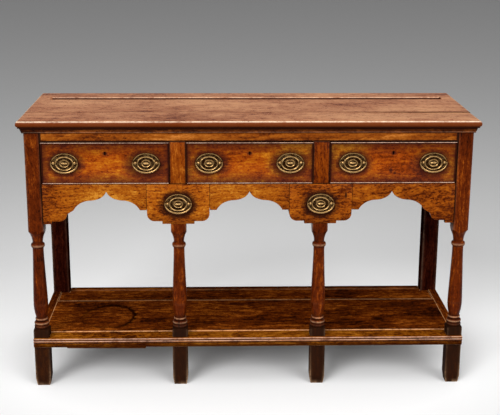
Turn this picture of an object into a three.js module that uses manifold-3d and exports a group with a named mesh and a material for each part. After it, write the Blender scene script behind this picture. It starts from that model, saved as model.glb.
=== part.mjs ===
// A low oak dresser base: three long drawers over a shaped apron that holds two small spice drawers,
// on four turned front legs and two square rear posts joined by a pot board.
// Millimetres, +Z up, front facing -Y. Heights are measured from the floor, and depths from the
// front face of the legs, until the last lines centre the piece over its own footprint.

import * as THREE from "three";
import { mergeVertices } from "three/addons/utils/BufferGeometryUtils.js";
import Module from "manifold-3d";

const wasm = await Module();
wasm.setup();

// Overall sizes
const overallHeight = 848;
const carcaseWidth = 1340; // over the corner legs
const carcaseDepth = 479; // front of the legs to the back of the rear posts

// Clearances
const seat = 0.3; // between pieces that rest on each other or are glued
const frontGap = 1; // beside and above a small drawer's front
const slideGap = 1.5; // beside a long drawer
const headGap = 2.6; // above a long drawer's front
const footGap = 0.6; // below a drawer
const boreGap = 0.7; // around a bolt in its hole
const overrun = 6; // how far a cutter passes the piece it cuts
const weld = 0.001; // vertices closer than this are one

// Posts and legs
const legSquare = 47;
const rearPostSquare = 54;
const footWear = 4; // how far the bottom arrises are worn in
const footWearHeight = 24;

// Turned part of a leg, from the frieze block down to the lower block
const turning = {
  top: 508,
  shoulderDrop: 17,
  shoulderRadius: 20.5,
  neckDrop: 26,
  neckRadius: 15.6,
  collarHeight: 15,
  collarRadius: 21.2,
  collarFillet: 2.5,
  shaftRadius: 22.4, // at the belly
  ringTop: 222.5,
  ringHeight: 8.5,
  ringRadius: 19,
  ringNeck: 3.5,
  doubleRingHeight: 11,
  doubleRingRadius: 22.7,
  blockTop: 187,
  blockFall: 3,
};
const shaftShares = [
  [0, 0.75],
  [0.35, 0.85],
  [0.79, 1],
  [1, 0.72],
]; // of the shaft's length from its top, and of its belly radius
const ringSquatShare = 0.35; // of a ring's height: how far its round stands out of its core
const cornerShare = 1.02; // of the half diagonal: a radius that leaves the square whole

// Top
const topThickness = 18;
const topOverhang = 19; // at the front and both ends
const topBackOverhang = 5;
const topFrontBoard = 156; // width of the front board
const nosingReach = 7;
const nosingFlat = 2; // height of the flat at the middle of the nosing
const plateGroove = { width: 32, depth: 7, fromBack: 103, stop: 44 };

// Cornice moulding below the top
const corniceHeight = 20;
const corniceReach = 14;
const corniceFillet = 3;
const corniceBead = 5;
const corniceBack = 2; // least reach, at the foot of the moulding
const corniceHollowShare = 0.25; // where the hollow's control point stands between its ends

// Frieze
const railThickness = 26;
const topRailHeight = 46;
const openingHeight = 130; // of a long drawer's opening
const drawerRailHeight = 22;
const drawerRailDepth = 44;
const apronThickness = 18;
const apronHeight = 124.5; // from the drawers' openings to the foot of a pier
const endPanelThickness = 18;
const endPanelInset = 4;
const backPanelThickness = 12;
const backPanelInset = 12;
const runnerThickness = 20;
const runnerLedge = 15; // what a long drawer's side runs on
const guideHeight = 20;

// Edge of the apron, from the point of an arch outwards and above the foot of a pier
const spiceFrontWidth = 191;
const pierFootWidth = 99;
const archPointRise = 101;
const archHollowRise = 73;
const archStepRise = 43;
const pierFootRise = 8.5;
const pierRound = 22.5;
const archHollowShare = 0.458; // of the reach from the arch's middle to the pier
const archStepShare = 0.833;
const archOgeeShares = [0.09, 0.03]; // control point between the point and the hollow
const archCoveShares = [0.69, 0.15]; // control point between the hollow and the step

// Housing of a spice drawer
const housingWidth = 188;
const housingWall = 12;
const housingShoulder = { reach: 6, clear: 2 }; // closes the joint beside the drawer's front
const housingFloorRise = 24.5; // its underside above the foot of the pier

// Pot board
const potRailTop = 160;
const potRailHeight = 29;
const potRailReach = 10; // in front of the legs
const potRailSet = 15; // how deep the legs are cut for the rail
const potRailTail = 1; // behind the legs
const potSideRailWidth = 26;
const potLipWidth = 14;
const potLipHeight = 12;
const potBackRail = 24;
const potBoardProud = 3;
const potMainBoardDepth = 282;
const potBoardsGap = 2.5;
const potBackBoardThickness = 14;
const potBackBoardInset = 3;
const reedRadius = 3.2;
const reedQuirk = { height: 1, depth: 1.5 }; // the groove between the reeds
const potNosing = { height: 13, inset: 5 };

// Long drawers
const frontThickness = 20;
const beadWidth = 3.6;
const beadReach = 3;
const beadRound = 1.4;
const drawerBackGap = 37; // from a long drawer to the back panel
const drawerWall = 10;
const drawerSideDrop = 8; // below the top of the front
const drawerBackDrop = 6; // below the top of the sides
const drawerBottom = 7;
const drawerBottomRaise = 6;
const dovetail = { count: 3, lap: 5, width: 27, neck: 20, gap: 0.3 };

// Spice drawers
const spiceWall = 8;
const spiceDepth = 330;
const spiceHeadGap = 4;
const spiceGroove = 6; // how deep the sides are housed in the front
const spiceBottomRaise = 4;
const spiceBottom = 6;

// Locks and keyholes
const keyhole = { rise: 33, radius: 2.8, slotWidth: 3.4, slotDrop: 8 };
const lock = { width: 64, height: 44, depth: 9, flange: 5, flangeHeight: 2.5, pin: 1.3, bore: 6 };

// Oval handles
const handleInset = 70.5; // from the end of a drawer's bay to the middle of a handle
const plate = { width: 85, height: 65, edge: 1.4, rim: 4.6 };
const plateRingShares = [
  [0, 1.35],
  [0.13, 1.1],
  [0.22, 0.55],
  [0.36, 1.02],
  [0.48, 0.54],
  [0.62, 0.95],
  [0.74, 0.52],
  [0.92, 1],
]; // of the plate's half width, and of its rim height
const bolt = { spacing: 63, rise: 3, head: 4.8, shank: 2.5, nut: 5, nutHeight: 3 };
const boltDomeShare = 0.62; // of the head's radius: where its neck begins
const bail = { radius: 2.3, gap: 0.9, reach: 8.2, drop: 29.5, lug: 1.9 }; // lug stands above the pin
const pin = { radius: 1.3, length: 2.6, gap: 0.6 }; // at each end of a bail, in the bolt's head

// Facets
const turningFacets = 14;
const turningSteps = 2;
const plateFacets = 16;
const boltFacets = 6;
const bailFacets = 6;
const bailSteps = 14;
const archSteps = 6;
const mouldingSteps = 3;

// Heights and places that follow from the sizes above
const topUnderside = overallHeight - topThickness;
const railUnderside = topUnderside - topRailHeight;
const openingFloor = railUnderside - openingHeight;
const pierFoot = openingFloor - apronHeight;
const housingFloor = pierFoot + housingFloorRise;
const halfWidth = carcaseWidth / 2;
const legInner = halfWidth - legSquare;
const bayWidth = (2 * legInner - 2 * legSquare) / 3;
const middleLegX = bayWidth / 2 + legSquare / 2;
const bayPitch = bayWidth + legSquare;
const pierReach = middleLegX - spiceFrontWidth / 2;
const pierFootReach = middleLegX - pierFootWidth / 2;
const rearPostFront = carcaseDepth - rearPostSquare;
const rearPostInner = halfWidth - rearPostSquare;
const backPanelFront = carcaseDepth - backPanelInset - backPanelThickness;
const endPanelOuter = halfWidth - endPanelInset;
const endPanelInner = endPanelOuter - endPanelThickness;
const potRailUnderside = potRailTop - potRailHeight;
const potRailBack = legSquare + potRailTail;
const potSideInner = halfWidth - potSideRailWidth;
const potLipTop = potRailUnderside + potLipHeight;
const longFrontFloor = openingFloor + footGap;
const longFrontTop = railUnderside - headGap;
const longFrontMiddle = (longFrontFloor + longFrontTop) / 2;
const spiceFrontMiddle = (pierFoot + openingFloor) / 2;
const bailPivotReach = plate.rim + bail.gap + bail.radius;

// Colours as seen in the photograph
const oakTop = wood(0xa8754c, 0.35);
const oakFront = wood(0x93500f, 0.42);
const oakFrame = wood(0x6e360e, 0.42);
const oakLeg = wood(0x5a2c10, 0.45);
const oakPot = wood(0x4d2a0e, 0.5);
const oakInside = wood(0x9a7a52, 0.75);
const brass = new THREE.MeshStandardMaterial({ color: 0x9a8450, roughness: 0.35, metalness: 1 });
const iron = new THREE.MeshStandardMaterial({ color: 0x3a3632, roughness: 0.6, metalness: 1 });

function wood(color, roughness) {
  return new THREE.MeshStandardMaterial({ color, roughness, metalness: 0 });
}

// Solids and cuts

function solid(geometry) {
  const bare = geometry.clone();
  bare.deleteAttribute("normal");
  bare.deleteAttribute("uv");
  const merged = mergeVertices(bare, weld);
  return new wasm.Manifold(
    new wasm.Mesh({
      numProp: 3,
      vertProperties: merged.attributes.position.array,
      triVerts: new Uint32Array(merged.index.array),
    }),
  );
}

function surface(manifold) {
  const { vertProperties, triVerts } = manifold.getMesh();
  const indexed = new THREE.BufferGeometry();
  indexed.setAttribute("position", new THREE.BufferAttribute(vertProperties, 3));
  indexed.setIndex(new THREE.BufferAttribute(triVerts, 1));
  const flat = indexed.toNonIndexed();
  flat.computeVertexNormals();
  return flat;
}

const join = (first, ...rest) =>
  surface(rest.reduce((whole, piece) => whole.add(solid(piece)), solid(first)));
const cut = (piece, ...cutters) =>
  surface(cutters.reduce((left, cutter) => left.subtract(solid(cutter)), solid(piece)));
const common = (piece, other) => surface(solid(piece).intersect(solid(other)));

// Basic forms

// A board between two opposite corners, each given as [x, y, z].
function board([x0, y0, z0], [x1, y1, z1]) {
  const box = new THREE.BoxGeometry(x1 - x0, y1 - y0, z1 - z0);
  return box.translate((x0 + x1) / 2, (y0 + y1) / 2, (z0 + z1) / 2);
}

// A shape drawn in x and z, as seen from the front, made thick from y backwards.
function frontSlab(shape, y, thickness, bevel = {}) {
  const options = { depth: thickness, bevelEnabled: false, curveSegments: archSteps, ...bevel };
  return new THREE.ExtrudeGeometry(shape, options)
    .rotateX(Math.PI / 2)
    .translate(0, y + thickness, 0);
}

// A profile drawn in y and z, as seen from the end, run from x to the right.
function endRun(shape, x, length) {
  const toEndView = new THREE.Matrix4().makeBasis(
    new THREE.Vector3(0, 1, 0),
    new THREE.Vector3(0, 0, 1),
    new THREE.Vector3(1, 0, 0),
  );
  const options = { depth: length, bevelEnabled: false, curveSegments: mouldingSteps };
  return new THREE.ExtrudeGeometry(shape, options).applyMatrix4(toEndView).translate(x, 0, 0);
}

// A plan drawn in x and y, made thick from z upwards.
function planSlab(points, z, thickness) {
  const shape = new THREE.Shape(points.map(([x, y]) => new THREE.Vector2(x, y)));
  const options = { depth: thickness, bevelEnabled: false };
  return new THREE.ExtrudeGeometry(shape, options).translate(0, 0, z);
}

// A profile of radius and height turned about an upright axis.
const turnUpright = (points, facets) =>
  new THREE.LatheGeometry(points, facets).rotateX(Math.PI / 2);

// A profile of radius and depth turned about an axis that runs from front to back.
const turnLevel = (points, facets) => new THREE.LatheGeometry(points, facets);

const mirrored = (geometry) => surface(solid(geometry).mirror([1, 0, 0]));

function polygon(points) {
  return new THREE.Shape(points.map(([x, z]) => new THREE.Vector2(x, z)));
}

function piece(name, geometry, material) {
  const mesh = new THREE.Mesh(geometry, material);
  mesh.name = name;
  return mesh;
}

// A piece of the right-hand half and its mirror image on the left.
const pair = (name, right, material) => [
  piece(name + "_right", right, material),
  piece(name + "_left", mirrored(right), material),
];

// A group of pieces with its own origin.
function placed(x, y, z, ...pieces) {
  const group = new THREE.Group().add(...pieces);
  group.position.set(x, y, z);
  return group;
}

// Legs and posts

// One round of a turned leg, standing out of its core between two heights.
function drawRing(path, top, height, radius) {
  const squat = height * ringSquatShare;
  path.lineTo(radius - squat, top);
  path.absellipse(radius - squat, top - height / 2, squat, height / 2, Math.PI / 2, -Math.PI / 2, true);
}

function turnedOutline() {
  const half = legSquare / 2;
  const corner = half * Math.SQRT2 * cornerShare;
  const t = turning;
  const shoulder = t.top - t.shoulderDrop;
  const collarTop = shoulder - t.neckDrop;
  const shaftTop = collarTop - t.collarHeight - t.collarFillet;
  const shaftLength = shaftTop - t.ringTop;
  const path = new THREE.Path().moveTo(0, overallHeight);
  path.lineTo(corner, overallHeight);
  path.lineTo(corner, t.top);
  path.quadraticCurveTo(half, (t.top + shoulder) / 2, t.shoulderRadius, shoulder);
  path.quadraticCurveTo(t.neckRadius, (shoulder + collarTop) / 2, t.neckRadius, collarTop);
  drawRing(path, collarTop, t.collarHeight, t.collarRadius);
  path.splineThru(
    shaftShares.map(([down, wide]) => {
      return new THREE.Vector2(wide * t.shaftRadius, shaftTop - down * shaftLength);
    }),
  );
  drawRing(path, t.ringTop, t.ringHeight, t.ringRadius);
  const doubleTop = t.ringTop - t.ringHeight - t.ringNeck;
  path.lineTo(t.neckRadius, t.ringTop - t.ringHeight);
  path.lineTo(t.neckRadius, doubleTop);
  drawRing(path, doubleTop, t.doubleRingHeight, t.doubleRingRadius);
  drawRing(path, doubleTop - t.doubleRingHeight, t.doubleRingHeight, t.doubleRingRadius);
  path.lineTo(half, t.blockTop);
  path.lineTo(corner, t.blockTop - t.blockFall);
  path.lineTo(corner, -overrun);
  path.lineTo(0, -overrun);
  return path.getPoints(turningSteps).reverse();
}

// The worn foot: a wedge-sided envelope that only takes the bottom arrises.
function footEnvelope(half, height) {
  const spread = half - footWear + (footWear * height) / footWearHeight;
  const low = (half - footWear) * Math.SQRT2;
  return new THREE.CylinderGeometry(spread * Math.SQRT2, low, height, 4)
    .rotateY(Math.PI / 4)
    .rotateX(Math.PI / 2)
    .translate(0, 0, height / 2);
}

// A front leg, turned from one square post and cut for the pot rail, with its middle at x.
function frontLeg(x, height) {
  const half = legSquare / 2;
  const post = board([-half, -half, 0], [half, half, height]);
  const turned = common(post, turnUpright(turnedOutline(), turningFacets));
  const worn = common(turned, footEnvelope(half, height));
  const railSeat = board(
    [-half - overrun, -half - overrun, potRailUnderside - seat],
    [half + overrun, -half + potRailSet + seat, potRailTop + seat],
  );
  return cut(worn, railSeat).translate(x, half, 0);
}

// A middle leg stops below the spice drawer, and a tongue behind the drawer's front carries its housing.
function middleLeg() {
  const tongueFront = apronThickness + 2 * seat;
  const whole = frontLeg(middleLegX, housingFloor - seat);
  const clearOfFront = board(
    [middleLegX - legSquare, -overrun, pierFoot - frontGap],
    [middleLegX + legSquare, tongueFront, housingFloor + overrun],
  );
  return cut(whole, clearOfFront);
}

function rearPost() {
  const half = rearPostSquare / 2;
  const height = topUnderside - seat;
  const post = board([-half, -half, 0], [half, half, height]);
  const worn = common(post, footEnvelope(half, height));
  return worn.translate(halfWidth - half, carcaseDepth - half, 0);
}

// Top and cornice

// The whole top with its half-round nosing, before it is ripped into two boards.
function nosedTop() {
  const half = halfWidth + topOverhang - nosingReach;
  const front = -topOverhang + nosingReach;
  const back = carcaseDepth + topBackOverhang + overrun;
  const plan = polygon([
    [-half, front],
    [half, front],
    [half, back],
    [-half, back],
  ]);
  const round = (topThickness - nosingFlat) / 2;
  return new THREE.ExtrudeGeometry(plan, {
    depth: nosingFlat,
    bevelThickness: round,
    bevelSize: nosingReach,
    bevelSegments: mouldingSteps,
  }).translate(0, 0, topUnderside + round);
}

function topBetween(front, back) {
  const reach = halfWidth + topOverhang + overrun;
  const slice = board(
    [-reach, front, topUnderside - overrun],
    [reach, back, overallHeight + overrun],
  );
  return common(nosedTop(), slice);
}

// A coved channel that keeps plates from sliding, stopped short of both ends.
function plateGrooveCutter() {
  const { width, depth, fromBack, stop } = plateGroove;
  const radius = (width * width) / (8 * depth) + depth / 2;
  const middle = carcaseDepth + topBackOverhang - fromBack;
  const half = halfWidth + topOverhang - stop;
  return new THREE.CylinderGeometry(radius, radius, 2 * half, 4 * turningFacets)
    .rotateZ(Math.PI / 2)
    .translate(0, middle, overallHeight + radius - depth);
}

const topJoint = topFrontBoard - topOverhang;

const topFront = () => topBetween(-topOverhang - overrun, topJoint);

function topBack() {
  const plain = topBetween(topJoint + seat, carcaseDepth + topBackOverhang);
  return cut(plain, plateGrooveCutter());
}

// The cornice's profile, from the face it is planted on outwards: fillet, hollow, fillet and round.
function corniceProfile() {
  const top = topUnderside - seat;
  const foot = topUnderside - corniceHeight;
  const beadTop = foot + corniceBead;
  const hollowTop = top - corniceFillet;
  const beadReachOut = corniceBack + corniceFillet;
  const hollowEnd = corniceReach - corniceFillet / 2;
  const hollowStart = beadReachOut + corniceFillet / 2;
  const bend = hollowStart + (hollowEnd - hollowStart) * corniceHollowShare;
  const shape = new THREE.Shape().moveTo(-seat, foot);
  shape.lineTo(-seat, top);
  shape.lineTo(-corniceReach, top);
  shape.lineTo(-corniceReach, hollowTop);
  shape.lineTo(-hollowEnd, hollowTop);
  shape.quadraticCurveTo(-bend, hollowTop, -hollowStart, beadTop + corniceFillet / 2);
  shape.lineTo(-beadReachOut, beadTop + corniceFillet / 2);
  shape.lineTo(-beadReachOut, beadTop);
  shape.quadraticCurveTo(-beadReachOut, foot, -corniceBack, foot);
  return shape;
}

function corniceFront() {
  const reach = halfWidth + corniceReach + overrun;
  const run = endRun(corniceProfile(), -reach, 2 * reach);
  const mitre = planSlab(
    [
      [-halfWidth, 0],
      [-reach, -corniceReach - overrun],
      [reach, -corniceReach - overrun],
      [halfWidth, 0],
    ],
    topUnderside - corniceHeight - overrun,
    corniceHeight + 2 * overrun,
  );
  return common(run, mitre);
}

function corniceSide() {
  const end = carcaseDepth;
  const run = endRun(corniceProfile(), -corniceReach - overrun, end + corniceReach + overrun)
    .rotateZ(Math.PI / 2)
    .translate(halfWidth, 0, 0);
  const mitre = planSlab(
    [
      [halfWidth, seat],
      [halfWidth + corniceReach + overrun, seat - corniceReach - overrun],
      [halfWidth + corniceReach + overrun, end],
      [halfWidth, end],
    ],
    topUnderside - corniceHeight - overrun,
    corniceHeight + 2 * overrun,
  );
  return common(run, mitre);
}

// Frieze

function topRail() {
  const half = legInner - seat;
  return board([-half, 0, railUnderside], [half, railThickness, topUnderside - seat]);
}

function muntin() {
  const half = legSquare / 2;
  return board(
    [middleLegX - half, 0, openingFloor + seat],
    [middleLegX + half, railThickness, railUnderside - seat],
  );
}

function drawerRail() {
  const half = legInner - seat;
  const front = apronThickness + seat;
  return board(
    [-half, front, openingFloor - drawerRailHeight],
    [half, front + drawerRailDepth, openingFloor],
  );
}

// The edge of half an arch as distance from its middle and rise above the pier's foot.
function archEdge() {
  const hollow = pierReach * archHollowShare;
  const step = pierReach * archStepShare;
  const [ogeeOut, ogeeUp] = archOgeeShares;
  const [coveOut, coveUp] = archCoveShares;
  const path = new THREE.Path().moveTo(0, archPointRise);
  path.quadraticCurveTo(
    pierReach * ogeeOut,
    archHollowRise + (archPointRise - archHollowRise) * ogeeUp,
    hollow,
    archHollowRise,
  );
  path.quadraticCurveTo(
    hollow + (step - hollow) * coveOut,
    archHollowRise - (archHollowRise - archStepRise) * coveUp,
    step,
    archStepRise,
  );
  path.lineTo(pierReach, archStepRise);
  return path.getPoints(archSteps);
}

// The edge of a pier from the arch's step down to its foot, measured as archEdge is.
function pierEdge() {
  const path = new THREE.Path().moveTo(pierReach, archStepRise);
  const roundTop = pierFootRise + pierRound;
  path.lineTo(pierReach, roundTop);
  path.absarc(pierReach + pierRound, roundTop, pierRound, Math.PI, 1.5 * Math.PI, false);
  path.lineTo(pierFootReach, pierFootRise);
  path.lineTo(pierFootReach, 0);
  return path.getPoints(archSteps / 2);
}

// Moves an edge to its place beside the middle of an arch: side is 1 to the right and -1 to the left.
const placeEdge = (edge, middle, side, inset = 0) =>
  edge.map(({ x, y }) => new THREE.Vector2(middle + side * (x + inset), pierFoot + y));

function apronCentre() {
  const right = placeEdge(archEdge(), 0, 1);
  const left = placeEdge(archEdge(), 0, -1).reverse();
  const top = openingFloor - seat;
  const outline = [...left.slice(0, -1), ...right];
  outline.push(new THREE.Vector2(pierReach, top), new THREE.Vector2(-pierReach, top));
  return frontSlab(new THREE.Shape(outline), 0, apronThickness);
}

function apronEnd() {
  const inner = placeEdge(archEdge(), bayPitch, -1).reverse();
  const outer = placeEdge([...archEdge(), ...pierEdge().slice(1)], bayPitch, 1);
  const top = openingFloor - seat;
  const outline = [...inner.slice(0, -1), ...outer];
  outline.push(
    new THREE.Vector2(legInner - seat, pierFoot),
    new THREE.Vector2(legInner - seat, top),
    new THREE.Vector2(bayPitch - pierReach, top),
  );
  return frontSlab(new THREE.Shape(outline), 0, apronThickness);
}

function endPanel() {
  return board(
    [endPanelInner, legSquare + seat, pierFoot],
    [endPanelOuter, rearPostFront - seat, topUnderside - seat],
  );
}

function backPanel() {
  const half = rearPostInner - seat;
  return board(
    [-half, backPanelFront, housingFloor],
    [half, backPanelFront + backPanelThickness, topUnderside - seat],
  );
}

// An end runner with the guide that fills in behind the corner leg, as one L-shaped length.
function endRunner() {
  const outer = endPanelInner - seat;
  const front = apronThickness + drawerRailDepth + 2 * seat;
  const section = polygon([
    [legInner - runnerLedge, openingFloor - runnerThickness],
    [outer, openingFloor - runnerThickness],
    [outer, openingFloor + guideHeight],
    [legInner, openingFloor + guideHeight],
    [legInner, openingFloor],
    [legInner - runnerLedge, openingFloor],
  ]);
  return frontSlab(section, front, rearPostFront - seat - front);
}

// The housing of a spice drawer: floor, cheeks and a lid that also carries two long drawers,
// with the guide between them on top.
function spiceHousing() {
  const half = housingWidth / 2;
  const inner = half - housingWall;
  const shoulderHalf = half + housingShoulder.reach;
  const shoulder = pierFoot + archStepRise + housingShoulder.clear;
  const guide = legSquare / 2;
  const lid = openingFloor - runnerThickness;
  const section = polygon([
    [middleLegX - half, housingFloor],
    [middleLegX + half, housingFloor],
    [middleLegX + half, shoulder],
    [middleLegX + shoulderHalf, shoulder],
    [middleLegX + shoulderHalf, openingFloor],
    [middleLegX + guide, openingFloor],
    [middleLegX + guide, openingFloor + guideHeight],
    [middleLegX - guide, openingFloor + guideHeight],
    [middleLegX - guide, openingFloor],
    [middleLegX - shoulderHalf, openingFloor],
    [middleLegX - shoulderHalf, shoulder],
    [middleLegX - half, shoulder],
  ]);
  section.holes.push(
    polygon([
      [middleLegX - inner, housingFloor + housingWall],
      [middleLegX - inner, lid],
      [middleLegX + inner, lid],
      [middleLegX + inner, housingFloor + housingWall],
    ]),
  );
  const front = apronThickness + 2 * seat;
  const whole = frontSlab(section, front, backPanelFront - seat - front);
  const halfCut = shoulderHalf + overrun;
  const railSlot = board(
    [middleLegX - halfCut, front - overrun, openingFloor - drawerRailHeight - seat],
    [middleLegX + halfCut, front + drawerRailDepth + seat, openingFloor + seat],
  );
  const muntinSlot = board(
    [middleLegX - halfCut, front - overrun, openingFloor],
    [middleLegX + halfCut, railThickness + seat, openingFloor + guideHeight + overrun],
  );
  return cut(whole, railSlot, muntinSlot);
}

// Pot board

// The front rail's section: two reeds over a receding nosing, and a lip at the back for the boards.
function potFrontProfile() {
  const reedAxis = -potRailReach + reedRadius;
  const firstReed = potRailTop - reedRadius;
  const quirkTop = firstReed - reedRadius;
  const quirkFoot = quirkTop - reedQuirk.height;
  const secondReed = quirkFoot - reedRadius;
  const quarter = Math.PI / 2;
  const shape = new THREE.Shape().moveTo(potRailBack + potLipWidth, potRailUnderside);
  shape.lineTo(potRailBack + potLipWidth, potLipTop);
  shape.lineTo(potRailBack, potLipTop);
  shape.lineTo(potRailBack, potRailTop);
  shape.lineTo(reedAxis, potRailTop);
  shape.absarc(reedAxis, firstReed, reedRadius, quarter, 3 * quarter, false);
  shape.lineTo(reedAxis + reedQuirk.depth, quirkTop);
  shape.lineTo(reedAxis + reedQuirk.depth, quirkFoot);
  shape.lineTo(reedAxis, quirkFoot);
  shape.absarc(reedAxis, secondReed, reedRadius, quarter, 3 * quarter, false);
  shape.lineTo(reedAxis, potRailUnderside + potNosing.height);
  shape.quadraticCurveTo(
    reedAxis - reedRadius / 2,
    potRailUnderside + potNosing.height / 2,
    -potRailReach + potNosing.inset,
    potRailUnderside,
  );
  return shape;
}

// The front rail is halved round the legs, and its lip stops between them.
function potFrontRail() {
  const run = endRun(potFrontProfile(), -halfWidth, carcaseWidth);
  const half = legSquare / 2 + seat;
  const legPlaces = [-halfWidth + legSquare / 2, -middleLegX, middleLegX, halfWidth - legSquare / 2];
  const notches = legPlaces.map((x) =>
    board(
      [x - half, potRailSet, potRailUnderside - overrun],
      [x + half, potRailBack + potLipWidth + overrun, potRailTop + overrun],
    ),
  );
  return cut(run, ...notches);
}

// A side rail with its inner lip, between the corner leg and the rear post.
function potSideRail() {
  const section = polygon([
    [potSideInner - potLipWidth, potRailUnderside],
    [halfWidth, potRailUnderside],
    [halfWidth, potRailTop],
    [potSideInner, potRailTop],
    [potSideInner, potLipTop],
    [potSideInner - potLipWidth, potLipTop],
  ]);
  const front = legSquare + seat;
  return frontSlab(section, front, rearPostFront - seat - front);
}

function potBackRailBoard() {
  const half = rearPostInner - seat;
  return board(
    [-half, carcaseDepth - potBackRail, potLipTop - potBackRail],
    [half, carcaseDepth, potLipTop],
  );
}

function potMainBoard() {
  const half = potSideInner - seat;
  const front = potRailBack + seat;
  return board(
    [-half, front, potLipTop + seat],
    [half, front + potMainBoardDepth, potRailTop + potBoardProud],
  );
}

// The narrow back board, notched round the rear posts.
function potBackBoard() {
  const wide = potSideInner - seat;
  const narrow = rearPostInner - seat;
  const front = potRailBack + seat + potMainBoardDepth + potBoardsGap;
  const notch = rearPostFront - seat;
  const back = carcaseDepth - potBackBoardInset;
  const plan = [
    [-wide, front],
    [wide, front],
    [wide, notch],
    [narrow, notch],
    [narrow, back],
    [-narrow, back],
    [-narrow, notch],
    [-wide, notch],
  ];
  return planSlab(plan, potLipTop + seat, potBackBoardThickness);
}

// Handles, each with its origin at the middle of the plate on the face it is bolted to

// The pressed oval plate and its two bolts, whose shanks pass through a front of this thickness.
function handlePlate(thickness) {
  const half = plate.width / 2;
  const profile = plateRingShares.map(([out, up]) => new THREE.Vector2(half * out, -plate.rim * up));
  profile.push(
    new THREE.Vector2(half, -plate.edge),
    new THREE.Vector2(half, -seat),
    new THREE.Vector2(0, -seat),
  );
  const oval = turnLevel(profile, plateFacets).scale(1, 1, plate.height / plate.width);
  return join(oval, handleBolt(-1, thickness), handleBolt(1, thickness));
}

// A round-headed bolt with its nut, and a socket in the outer side of its head for the bail's pin.
function handleBolt(side, thickness) {
  const neck = bailPivotReach - bolt.head * boltDomeShare;
  const nutFront = thickness + seat;
  const path = new THREE.Path().moveTo(0, -bailPivotReach - bolt.head);
  path.absarc(0, -bailPivotReach, bolt.head, -Math.PI / 2, Math.asin(boltDomeShare), false);
  path.lineTo(bolt.shank, -neck);
  path.lineTo(bolt.shank, nutFront);
  path.lineTo(bolt.nut, nutFront);
  path.lineTo(bolt.nut, nutFront + bolt.nutHeight);
  path.lineTo(0, nutFront + bolt.nutHeight);
  const turned = turnLevel(path.getPoints(turningSteps), boltFacets);
  const width = pin.radius + pin.gap / 2;
  const socket = new THREE.CylinderGeometry(width, width, 2 * (pin.length + pin.gap), boltFacets)
    .rotateZ(Math.PI / 2)
    .translate(side * bolt.head, -bailPivotReach, 0);
  return cut(turned, socket).translate((side * bolt.spacing) / 2, 0, bolt.rise);
}

// The bail hangs from the x axis: a little over half an oval of round rod, with a pin at each end.
function handleBail() {
  const half = bolt.spacing / 2 + bail.reach;
  const lug = Math.asin(bail.lug / bail.drop);
  const bow = new THREE.EllipseCurve(0, 0, half, bail.drop, Math.PI - lug, 2 * Math.PI + lug);
  const points = bow.getPoints(bailSteps).map(({ x, y }) => new THREE.Vector3(x, 0, y));
  const section = new THREE.Shape().absarc(0, 0, bail.radius, 0, 2 * Math.PI);
  const rod = new THREE.ExtrudeGeometry(section, {
    steps: bailSteps,
    curveSegments: bailFacets / 2,
    extrudePath: new THREE.CatmullRomCurve3(points),
  });
  const length = bail.reach - bolt.head + pin.length;
  const end = new THREE.CylinderGeometry(pin.radius, pin.radius, length, bailFacets)
    .rotateZ(Math.PI / 2)
    .translate(half - length / 2, 0, 0);
  return join(rod, end, mirrored(end));
}

const bailForm = handleBail();

function handle(name, x, z, plateForm) {
  const swing = piece(name + "_bail", bailForm, brass);
  swing.position.set(0, -bailPivotReach, bolt.rise);
  return placed(x, 0, z, piece(name + "_plate", plateForm, brass), swing);
}

// The holes for a handle's two bolts through a front.
const boltHoles = (x, z, thickness) =>
  [-1, 1].map((side) => {
    const radius = bolt.shank + boreGap;
    const hole = new THREE.CylinderGeometry(radius, radius, 2 * (thickness + overrun), boltFacets);
    return hole.translate(x + (side * bolt.spacing) / 2, 0, z + bolt.rise);
  });

// Long drawers, each with its origin at the middle of its bay

const longHalf = bayWidth / 2 - slideGap;
const drawerDepth = backPanelFront - drawerBackGap;
const handleOffset = bayWidth / 2 - handleInset;
const longSideTop = longFrontTop - drawerSideDrop;
const longSideInner = longHalf - drawerWall;

const rectangle = (half, floor, top) =>
  polygon([
    [-half, floor],
    [half, floor],
    [half, top],
    [-half, top],
  ]);

// The bead stands proud round the face of a front, its two arrises rounded.
function cockBead() {
  const frame = rectangle(longHalf - beadRound, longFrontFloor + beadRound, longFrontTop - beadRound);
  const band = beadWidth - beadRound;
  frame.holes.push(rectangle(longHalf - band, longFrontFloor + band, longFrontTop - band));
  return frontSlab(frame, beadRound - beadReach, beadReach, {
    bevelEnabled: true,
    bevelThickness: beadRound,
    bevelSize: beadRound,
    bevelSegments: 1,
  });
}

// The tails of a drawer's right side between two places across it, let out all round by slack.
function dovetails(from, to, slack = 0) {
  const pitch = (longSideTop - longFrontFloor) / dovetail.count;
  const wide = dovetail.width / 2 + slack;
  const narrow = dovetail.neck / 2 + slack;
  const root = frontThickness + overrun;
  return Array.from({ length: dovetail.count }, (_, place) => {
    const middle = longFrontFloor + pitch / 2 + place * pitch;
    const tail = polygon([
      [dovetail.lap - slack, middle - wide],
      [frontThickness, middle - narrow],
      [root, middle - narrow],
      [root, middle + narrow],
      [frontThickness, middle + narrow],
      [dovetail.lap - slack, middle + wide],
    ]);
    return endRun(tail, from, to - from);
  });
}

function keyholeCutter() {
  const middle = longFrontMiddle + keyhole.rise;
  const half = keyhole.slotWidth / 2;
  const turn = Math.acos(half / keyhole.radius);
  const shape = new THREE.Shape().moveTo(-half, middle - keyhole.slotDrop);
  shape.lineTo(half, middle - keyhole.slotDrop);
  shape.absarc(0, middle, keyhole.radius, -turn, Math.PI + turn, false);
  return frontSlab(shape, -overrun, frontThickness + 2 * overrun);
}

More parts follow.
